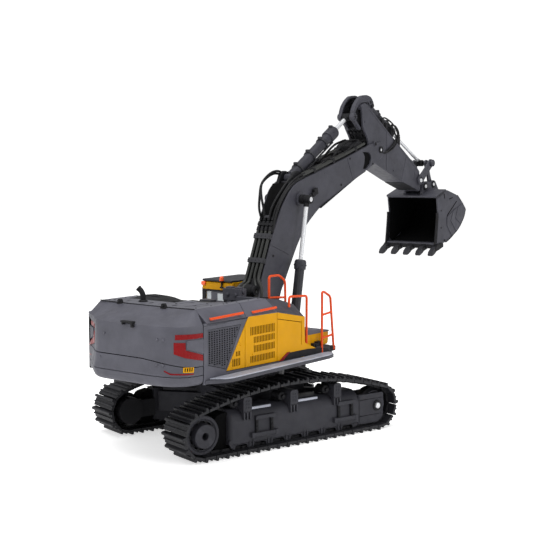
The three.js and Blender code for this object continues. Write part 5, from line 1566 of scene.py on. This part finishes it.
# ------------------------------------------------------------------ stick
def build_stick_box():
    """The stick with its bosses and lugs."""
    outline = ([(266, 352), (284, 342), (352, 318.5), (404, 303.2)]
               + arc_points(BUCKET_PIVOT, 8.4, -110, 60, 10)
               + [(400, 340), (365, 361), (323.5, 386), (284, 411.5), (253, 430), (243, 426), (247, 396),
                  (261, 378.5)])
    radii = [4, 4, 6, 5] + [0] * 11 + [5, 5, 5, 5, 3, 3, 4, 5]
    holes = [prism([(200, 380), (252, 380), (262, 402), (296, 402), (296, 460), (200, 460)], -6.9, 6.9),
             prism([(255, 400), (262, 400), (330, 372), (345, 380), (300, 440), (255, 440)], -6.9, 6.9),
             prism(soften([(236, 420), (252, 420), (253, 399), (268, 381), (270, 358), (240, 360)], 1, 2),
                   -13.6, 13.6)]
    for y0, y1 in both_sides(12.6, 20):
        holes.append(prism([(414, 285), (465, 285), (465, 340), (409, 340)], y0, y1))
    for y0, y1 in both_sides(STICK_HALF - 0.5, STICK_HALF + 2):
        for a, b in (((310.6, 394), (311.4, 334)), ((370.0, 357.5), (357.5, 324.4)),
                     ((357.5, 324.4), (355, 316))):
            holes.append(line_cut(a, b, 0.5, y0, y1))
    for y0, y1 in both_sides(STICK_HALF - 0.35, STICK_HALF + 2):
        holes.append(line_cut((262, 420.6), (402, 334.4), 0.5, y0, y1))
        boss = (389, 325.5)
        holes.append(prism(arc_points(boss, 7.5, 0, 350, 30), y0, y1))
    piece("stick_box", [prism(soften(outline, radii, 4), -STICK_HALF, STICK_HALF)], BOOM_GREY, "stick",
          bevel=0.8, segments=3, hides=["stick"], holes=holes)
    fittings = []
    for side in (-1, 1):
        face = side * (STICK_HALF - 0.3)
        for x, z in ((251.7, 402.9), (332.2, 333.4), (275.8, 347.3)):
            fittings += bolt((x, face, z), (0, side, 0), 1.5, 1.2, 12)
    lug = soften([(264, 424), (282, 418), (284, 432), (277, 440), (267, 440)], 4, 4)
    for y0, y1 in both_sides(6.9, 10.6):
        fittings.append(prism(lug, y0, y1))
    piece("stick_bosses", fittings, BOOM_GREY, "stick", bevel=0.3)


def build_stick_horns():
    """The two horns at the stick's rear, with their knobs and the hubs on the stick pin."""
    rim_out = [(227.2, 411), (227.2, 417), (231.6, 425.6), (239.6, 434), (249, 440), (262, 442), (274, 439.8),
               (281.4, 432), (281.6, 424), (277.6, 423)]
    rim_in = [(276, 429), (270, 431.4), (259.6, 431.4), (247.4, 429.4), (240, 424.6), (234.2, 419),
              (231.0, 413)]
    horn = soften(rim_out + rim_in, 3, 3)
    web = [(238, 402), (246, 392), (262, 402), (278, 414), (278, 432), (262, 439.6), (246, 436), (234, 426),
           (228, 414), (230.4, 405)]
    plates, flanges = [], []
    # The webs in the recess between each horn's rim and the stick's side are black: painted shade.
    for y0, y1 in both_sides(6.9, 9.4):
        plates.append(prism(soften(web, 3, 3), y0, y1))
    for y0, y1 in both_sides(6.9, 12.6):
        flanges.append(prism(horn, y0, y1))
        strut = [(228.6, 405.6), (231.6, 403), (246, 391), (248, 394), (233.6, 406), (230.6, 408)]
        flanges.append(prism(soften(strut, 0.8, 2), y0, y1 - 1.2 if y1 > 0 else y1))
    piece("stick_horn_web_shade", plates, BLACK, "stick", bevel=0.3, slot="boom_grey")
    piece("stick_horns", flanges, BOOM_GREY, "stick", bevel=0.7, segments=3)
    knobs = []
    for side in (-1, 1):
        knobs.append(disc_y(STICK_RAM_PIN, side * 6.9, side * 13.2, 6.2, 28, 0.8))
        knobs.append(lathe([(0, 2.0), (0, 5.2), (1.2, 4.8), (1.2, 2.0)],
                           (STICK_RAM_PIN[0], side * 12.9, STICK_RAM_PIN[1]), (0, side, 0), 28, ring=True))
        knobs.append(disc_y(BUCKET_RAM_BASE, side * 10.4, side * 13.2, 4.2, 24, 0.8))
    piece("stick_horn_knobs", knobs, BOOM_GREY, "stick", bevel=0.1)
    hubs = []
    for side in (-1, 1):
        for k in range(6):
            a = 2 * math.pi * k / 6
            hubs.append(disc_y((STICK_RAM_PIN[0] + 3.5 * math.cos(a), STICK_RAM_PIN[1] + 3.5 * math.sin(a)),
                               side * 13.9, side * 14.5, 0.8, 8))
        hubs.append(disc_y(STICK_RAM_PIN, side * 13.0, side * 13.6, 2.4, 20))
        hubs.append(disc_y(BUCKET_RAM_BASE, side * 13.0, side * 13.8, 2.2, 6))
        hubs.append(disc_y((279, 427.4), side * 12.0, side * 12.9, 3.2, 20, 0.2))
        hubs.append(lathe([(0, 2.6), (0, 7.4), (0.5, 7.4), (0.5, 2.6)],
                          (389, side * (STICK_HALF - 1.6), 325.5), (0, side, 0), 30, ring=True))
    piece("stick_pin_hubs", hubs, BLACK, "stick", bevel=0.1)


def build_stick_covers():
    """The stick's rear face between the horns in black as painted shade, painted shade under the nose, and
    top strips.
    """
    # The stick's rear face and its hose ends, in black: painted shade where the face sits back between the
    # horns.
    filling = soften([(245.6, 418), (252, 418), (253, 399), (268, 381), (269.4, 356), (267.4, 357),
                      (264.6, 379), (250.4, 396.6)], 1.5, 3)
    rear = [prism(filling, -13.8, 13.8)]
    for x, z in ((249.4, 404), (256.4, 389.2), (264.0, 374)):
        for y in (-9, -2.6, 3.4, 9.6):
            rear.append(bar((x + 3, y, z + 1), (x - 1.6, y, z - 1.4), 1.9, 6))
    for y in (-11, -5.4, 5.4, 11):
        rear.append(bar((250.6, y, 397), (262.6, y, 381), 1.5, 8))
    rear.append(block(247.6, 253, -13.8, 13.8, 392.6, 395.4))
    piece("stick_rear_shaded_block", rear, BLACK, "stick", bevel=0.4, slot="boom_grey")
    # A black skin under the nose: painted shade on the stick's underside.
    nose = [(362, 315.6), (382, 309.6), (402.6, 303.6)]
    under = ribbon(nose, 0.6, -0.7, 2)
    piece("stick_nose_shade", [prism(under, -16.2, 16.2)], BLACK, "stick", bevel=0.3, slot="boom_grey")
    top = [(400, 340), (365, 361), (323.5, 386), (290, 407.6)]
    spine = ribbon(top, 0.5, -0.6, 2)
    strips = twin_prisms(spine, 9.0, 16.0)
    piece("stick_top_strips", strips, BLACK, "stick", bevel=0.2, slot="boom_grey")


def build_stick_fittings():
    """Valves and hoses on the stick."""
    valves = []
    for x, z, y, tall in ((305, 399.6, -11.4, 11), (315, 393.4, -11.4, 11), (330, 384.6, -12, 17),
                          (350, 372.4, -12.4, 15), (317, 392, 12.0, 8)):
        valves.append(block(x - 2.6, x + 2.6, y - 3, y + 3, z - 2, z + tall - 3))
        valves.append(bar((x, y, z + tall - 4), (x, y, z + tall), 2.0, 12, 0.5))
    valves.append(bar((348, -12.4, 384), (354, -12.4, 386.4), 2.2, 12, 0.5))
    valves.append(bar((330, -12, 399), (335.6, -12.6, 401.4), 2.1, 12, 0.5))
    valves.append(tube([(286, -9.5, 412.4), (323.5, -9.5, 389.4), (362, -9.5, 365.8)], 1.2, 10))
    piece("stick_valves", valves, BLACK, "stick", bevel=0.4)
    loops = [
        [(305, -11.4, 408), (311, -13, 411), (322.4, -16.4, 405.4), (334, -17.8, 397), (341.4, -18.2, 385),
         (338, -18.4, 376), (330, -18.2, 368), (320, -18, 363), (308, -18, 359.6), (300, -18, 359.6)],
        [(315, -11.4, 402), (321, -13.4, 402.6), (328, -16, 396), (335.1, -17.8, 386.3), (334, -18.2, 379),
         (327, -18, 371.5), (318, -18, 366), (309, -18, 361.6), (302, -18, 361)],
        [(330, -12, 399), (338, -14.6, 400), (346, -15.4, 393), (350, -14.4, 386), (350, -12.8, 382)],
    ]
    piece("stick_hoses", [tube(path, 1.15, 12, 5) for path in loops], HOSE, "stick", bevel=0)


# ------------------------------------------------------------------ bucket and its linkage
def eye_plate(a, b, ra, rb, y0, y1, waist=0.8):
    """A link plate: two round eyes joined by a waisted web."""
    a, b = Vector(a), Vector(b)
    along = (b - a).normalized()
    n = Vector((-along.y, along.x))
    middle = (a + b) / 2
    web = [tuple(a + n * ra), tuple(middle + n * (ra + rb) / 2 * waist), tuple(b + n * rb), tuple(b - n * rb),
           tuple(middle - n * (ra + rb) / 2 * waist), tuple(a - n * ra)]
    return [prism(soften(web, [0, 6, 0, 0, 6, 0], 4), y0, y1), disc_y(a, y0, y1, ra, 28),
            disc_y(b, y0, y1, rb, 28)]


BUCKET_OUTER = [(414.2, 294.2), (414.8, 291.6), (416.6, 291.2), (421.4, 266), (417.4, 223), (415, 216),
                (429, 217), (458, 226), (489, 242), (506, 260), (510, 272), (500, 281.5), (483, 294),
                (443.5, 304)]
BUCKET_INNER = [(405, 289), (421, 291.4), (443.5, 300.8), (482, 291.6), (498, 279.5), (506.6, 271.6),
                (503.2, 261.5), (487.2, 244.4), (456.8, 228.8), (429, 220), (405, 217.8)]


# Cross sections of a tooth from root to tip: x, lower z, upper z and half its width.
TOOTH_LEVELS = ((413.5, 208.6, 215.6, 2.9), (407.5, 205.4, 212.4, 3.7), (402, 203.0, 208.6, 4.0),
                (397.4, 201.6, 204.0, 3.8))


def tooth_section(y, x, low, high, half):
    """Four corners of a tooth's section, which leans back towards its upper edge."""
    lean = (high - low) * -0.6
    return [(x, y - half, low), (x, y + half, low), (x + lean, y + half, high), (x + lean, y - half, high)]


def build_bucket_shell():
    """The bucket, with painted shade over its inside."""
    outer = soften(BUCKET_OUTER, [1, 0.5, 1, 9, 3, 1, 3, 10, 10, 6, 5, 6, 6, 8], 4)
    inner = soften(BUCKET_INNER, [0, 2, 6, 6, 6, 4, 6, 8, 8, 3, 0], 4)
    half = BUCKET_HALF
    piece("bucket_shell", [prism(outer, -half, half)], BOOM_GREY, "bucket", bevel=0.7, segments=3,
          hides=["bucket"], holes=[prism(inner, -half + 2.6, half - 1.6)])
    # Near-black skins over the inside of the bucket and its cheeks: painted shade.
    shade_skin_outer = [(421.8, 290.6), (443.5, 300.2), (481.6, 290.8), (497.6, 279.0), (506.0, 271.4),
                  (502.7, 261.7), (486.9, 244.9), (456.6, 229.4), (429.4, 220.7)]
    shade_skin_inner = [(423, 290.2), (443.7, 299.2), (481.0, 290.0), (497.0, 278.2), (504.8, 271.2), (501.6, 262.2),
                 (486.2, 245.8), (456.2, 230.4), (429.8, 221.9)]
    skin = soften(shade_skin_outer, [0, 6, 6, 6, 4, 6, 8, 8, 0], 4) + soften(shade_skin_inner, [0, 6, 6, 6, 4, 6, 8, 8, 0],
                                                                       4)[::-1]
    cheeks = soften([(418.4, 289.6), (423.2, 266), (420.4, 226), (430, 221.4)], [0, 9, 2, 0], 4)
    face = cheeks + soften(shade_skin_outer[1:-1], 5, 3)[::-1]
    shells = [prism(skin, -half + 2.7, half - 1.7), prism(face, -half + 2.8, -half + 3.6),
              prism(face, half - 2.6, half - 1.8)]
    piece("bucket_inside_shade", shells, VOID, "bucket", bevel=0)


def build_bucket_edges():
    """Side cutters, wear plates, painted shade along creases, heel bands and studs."""
    half = BUCKET_HALF
    far_edge = soften([(416, 268), (424, 266), (419.4, 222), (411, 219), (411.6, 222), (414, 240),
                       (416.4, 262)], 1, 2)
    piece("bucket_side_cutters", [prism(far_edge, half - 1.8, half + 0.6),
                                  prism(far_edge, -half - 0.4, -half + 2.2)], BLACK, "bucket", bevel=0.3,
          slot="boom_grey")
    strip = [(414.6, 289.8), (423.6, 292.0), (431.6, 266), (427.0, 222), (415, 216.6), (416.2, 224),
             (420.4, 266)]
    wear = [(448, 260.6), (448, 246.8), (464.4, 230.6), (488.6, 242.6), (505.0, 260.4), (508.6, 271),
            (497, 279.6), (469, 270.4)]
    grooves = [((469.0, 273.4), (459, 254.2)), ((459, 254.2), (478, 236)), ((484, 278), (475, 257.8)),
               ((475, 257.8), (494, 247))]
    rim = [prism(soften(strip, [1, 3, 12, 4, 1, 2, 9], 4), -half - 0.9, -half + 1.0),
           prism(soften(wear, 2, 2), -half - 1.0, -half + 0.4),
           prism(soften(wear, 2, 2), half - 0.4, half + 1.0)]
    piece("bucket_wear_plates", rim, BOOM_GREY, "bucket", bevel=0.4,
          holes=[line_cut(a, b, 1.0, y0, y1) for y0, y1 in both_sides(half + 0.2, half + 3) for a,
                 b in grooves])
    # Near-black lines along the bucket sides' folds and plate edges: painted shade.
    creases = []
    for y0, y1 in both_sides(half - 0.3, half + 0.4):
        for a, b in (((437.6, 297.4), (440.4, 289.8)), ((479.6, 284.6), (449.6, 263.4)),
                     ((455, 288.6), (466, 290.6)), ((449.6, 263.4), (449.6, 246))):
            creases.append(line_cut(a, b, 0.7, y0, y1))
    piece("bucket_crease_shade", creases, VOID, "bucket", bevel=0)
    spine = [(446, 221.6), (458, 226), (489, 242), (506, 260), (510, 272)]
    upper_spine = [(510, 272), (500, 281.5), (483, 294)]
    bands = [prism(ribbon(spine, -1.2, 0.6), -half - 0.7, half + 0.7),
             prism(ribbon(upper_spine, -0.5, 0.6), -half - 0.4, half + 0.4)]
    piece("bucket_heel_bands", bands, BLACK, "bucket", bevel=0.3, slot="boom_grey")
    studs = []
    for side in (-1, 1):
        for x, z in ((427.8, 271), (428.4, 244.3), (441.2, 224.3)):
            studs.append(disc_y((x, z), side * (half - 0.4), side * (half + 1.3), 1.5, 12, 0.2))
    piece("bucket_studs", studs, BLACK, "bucket", bevel=0)


def build_bucket_teeth():
    """Lips, cutting edge and five teeth with their adapters."""
    half = BUCKET_HALF
    low = [prism(soften([(413.6, 219.4), (414.4, 218.0), (434, 219.4), (434, 221.4), (414, 221.0)], 0.4, 2),
                 -half, half), prism(soften([(413.6, 294.5), (413.8, 291.6), (424, 291.6), (445, 302.2),
                                             (444, 304.4)], 0.8, 2), -half, half)]
    piece("bucket_lips", low, BOOM_GREY, "bucket", bevel=0.3)
    edge = soften([(414.8, 218.6), (414.0, 212.8), (417, 211.8), (432, 215.4), (434, 219.6)], 0.6, 2)
    piece("bucket_cutting_edge", [prism(edge, -half, half)], BLACK, "bucket", bevel=0.4, slot="boom_grey")
    teeth, adapters = [], []
    pitch = (2 * half - 2) / 4
    for i in range(5):
        y = -half + 1.0 + i * pitch
        adapter = soften([(432, 220.4), (416, 219.8), (406.8, 213.4), (408.6, 207.8), (420, 210.6),
                          (433, 214.6)], 1.4, 3)
        adapters.append(prism(adapter, y - 4.1, y + 4.1))
        teeth.append(loft([tooth_section(y, *level) for level in TOOTH_LEVELS]))
    piece("bucket_tooth_adapters", adapters, BLACK, "bucket", bevel=0.6, slot="boom_grey")
    piece("bucket_teeth", teeth, DARK_GREY, "bucket", bevel=0.4, slot="boom_grey")


def build_bucket_ears():
    """Ears, bushes and pins that the bucket hangs on."""
    ears = []
    for y0, y1 in both_sides(13, 16.8):
        ear = soften([(418, 296), (422, 312), (432, 317), (446, 315), (459, 318.6), (466, 310), (478, 295),
                      (444, 300)], [2, 5, 4, 4, 5, 5, 2, 0], 4)
        ears.append(prism(ear, y0, y1))
        ears.append(disc_y(BUCKET_PIVOT, y0, y1, 7.2, 28))
        ears.append(disc_y(LINK_FOOT, y0, y1, 6.6, 28))
    ears.append(prism(soften([(430, 298.4), (444, 303), (476, 295), (474, 298.4), (445, 306), (432, 300)], 1,
                             2), -24, 24))
    piece("bucket_ears", ears, BOOM_GREY, "bucket", bevel=0.5)
    bushes = []
    for y0, y1 in both_sides(16.6, 18.0):
        bushes.append(ring_y(BUCKET_PIVOT, [(y0, 2.4), (y0, 5.6), (y1, 5.3), (y1, 2.4)], 28))
        bushes.append(ring_y(LINK_FOOT, [(y0, 2.2), (y0, 5.0), (y1, 4.7), (y1, 2.2)], 28))
    piece("bucket_pin_bushes", bushes, BLACK, "bucket", bevel=0.2)
    pins = [disc_y(BUCKET_PIVOT, -18.6, 18.6, 3.0, 24, 0.5), disc_y(LINK_FOOT, -18.4, -12.8, 2.7, 24, 0.4),
            disc_y(LINK_FOOT, 12.8, 18.4, 2.7, 24, 0.4)]
    piece("bucket_pins", pins, CHROME, "bucket", bevel=0)


def build_linkage():
    """Rocker and tipping link, which curl the bucket."""
    shells = []
    for y0, y1 in both_sides(17.2, 20.2):
        shells += eye_plate(ROCKER_PIVOT, ROCKER_TOP, 6.8, 6.2, y0, y1, 0.86)
    shells += [disc_y(ROCKER_PIVOT, -19, 19, 3, 20)]
    shells += twin_discs(ROCKER_TOP, 9, 18, 2.5, 20)
    shells += twin_discs(ROCKER_TOP, 20, 24, 5.4, 24, 0.6)
    piece("rocker_plates", shells, BOOM_GREY, "rocker", bevel=0.35, hides=["rocker"])
    caps = twin_discs(ROCKER_PIVOT, 20, 21.6, 3.2, 24, 0.6)
    piece("rocker_pin_caps", caps, CHROME, "rocker", bevel=0)
    shells = []
    for y0, y1 in both_sides(9, 12.4):
        web = eye_plate(ROCKER_TOP, LINK_FOOT, 5, 5, y0, y1, 0.7)
        shells += web
    shells.append(disc_y(LINK_FOOT, -12, 12, 3, 20))
    piece("tipping_link_plates", shells, BOOM_GREY, "tipping_link", bevel=0.35, hides=["tipping_link"])


build_boom_box()
build_boom_pivots()
build_boom_covers()
build_boom_pipes()
build_rams()
build_stick_box()
build_stick_horns()
build_stick_covers()
build_stick_fittings()
build_bucket_shell()
build_bucket_edges()
build_bucket_teeth()
build_bucket_ears()
build_linkage()


# ------------------------------------------------------------------ stage
def build_stage():
    """Pale floor, white backdrop and three area lamps."""
    data = mesh_of("floor", [block(-9000, 9000, -9000, 9000, -40, -0.05)], GROUND)
    floor = add_object("floor", data)
    mat = bpy.data.materials.new("pale_floor")
    mat.use_nodes = True
    bsdf = mat.node_tree.nodes["Principled BSDF"]
    bsdf.inputs["Base Color"].default_value = (0.9, 0.9, 0.9, 1.0)
    bsdf.inputs["Roughness"].default_value = 0.9
    bsdf.inputs["Emission Color"].default_value = (1.0, 1.0, 1.0, 1.0)
    tree = mat.node_tree
    seen = tree.nodes.new("ShaderNodeLightPath")
    glow = tree.nodes.new("ShaderNodeMapRange")
    glow.inputs["To Min"].default_value = 0.3
    glow.inputs["To Max"].default_value = 0.56
    tree.links.new(seen.outputs["Is Camera Ray"], glow.inputs["Value"])
    tree.links.new(glow.outputs["Result"], bsdf.inputs["Emission Strength"])
    data.materials.append(mat)
    world = bpy.data.worlds.new("studio")
    bpy.context.scene.world = world
    world.use_nodes = True
    nodes, links = world.node_tree.nodes, world.node_tree.links
    room = nodes["Background"]
    room.inputs["Color"].default_value = (1.0, 1.0, 1.0, 1.0)
    room.inputs["Strength"].default_value = 0.5
    backdrop = nodes.new("ShaderNodeBackground")
    backdrop.inputs["Strength"].default_value = 1.3
    seen = nodes.new("ShaderNodeLightPath")
    pick = nodes.new("ShaderNodeMixShader")
    links.new(seen.outputs["Is Camera Ray"], pick.inputs[0])
    links.new(room.outputs[0], pick.inputs[1])
    links.new(backdrop.outputs[0], pick.inputs[2])
    links.new(pick.outputs[0], nodes["World Output"].inputs["Surface"])
    lamps = (
        ("key", (-0.5, -0.3, 2.3), 1.8, 40.0),
        ("fill", (-2.1, 0.6, 1.0), 1.4, 10.0),
        ("side", (0.7, -2.3, 1.1), 1.2, 14.0),
    )
    for name, place, size, power in lamps:
        light = bpy.data.lights.new(name, "AREA")
        light.energy = power
        light.size = size
        holder = add_object(name, light)
        holder.location = place
        holder.rotation_euler = (Vector((0.1, 0, 0.15)) - Vector(place)).to_track_quat("-Z", "Y").to_euler()


def build_camera():
    """The photograph's camera, from the fit to its vanishing points."""
    camera = bpy.data.cameras.new("camera")
    camera.lens = 73.67
    camera.sensor_width = 36.0
    camera.clip_end = 60.0
    holder = add_object("camera", camera)
    holder.location = (-0.81465, -1.12504, 0.30314)
    aim = Vector((0.02018, -0.01518, 0.18108))
    holder.rotation_euler = (aim - holder.location).to_track_quat("-Z", "Y").to_euler()
    bpy.context.scene.camera = holder


build_stage()
build_camera()
bpy.context.scene.view_settings.view_transform = "Standard"
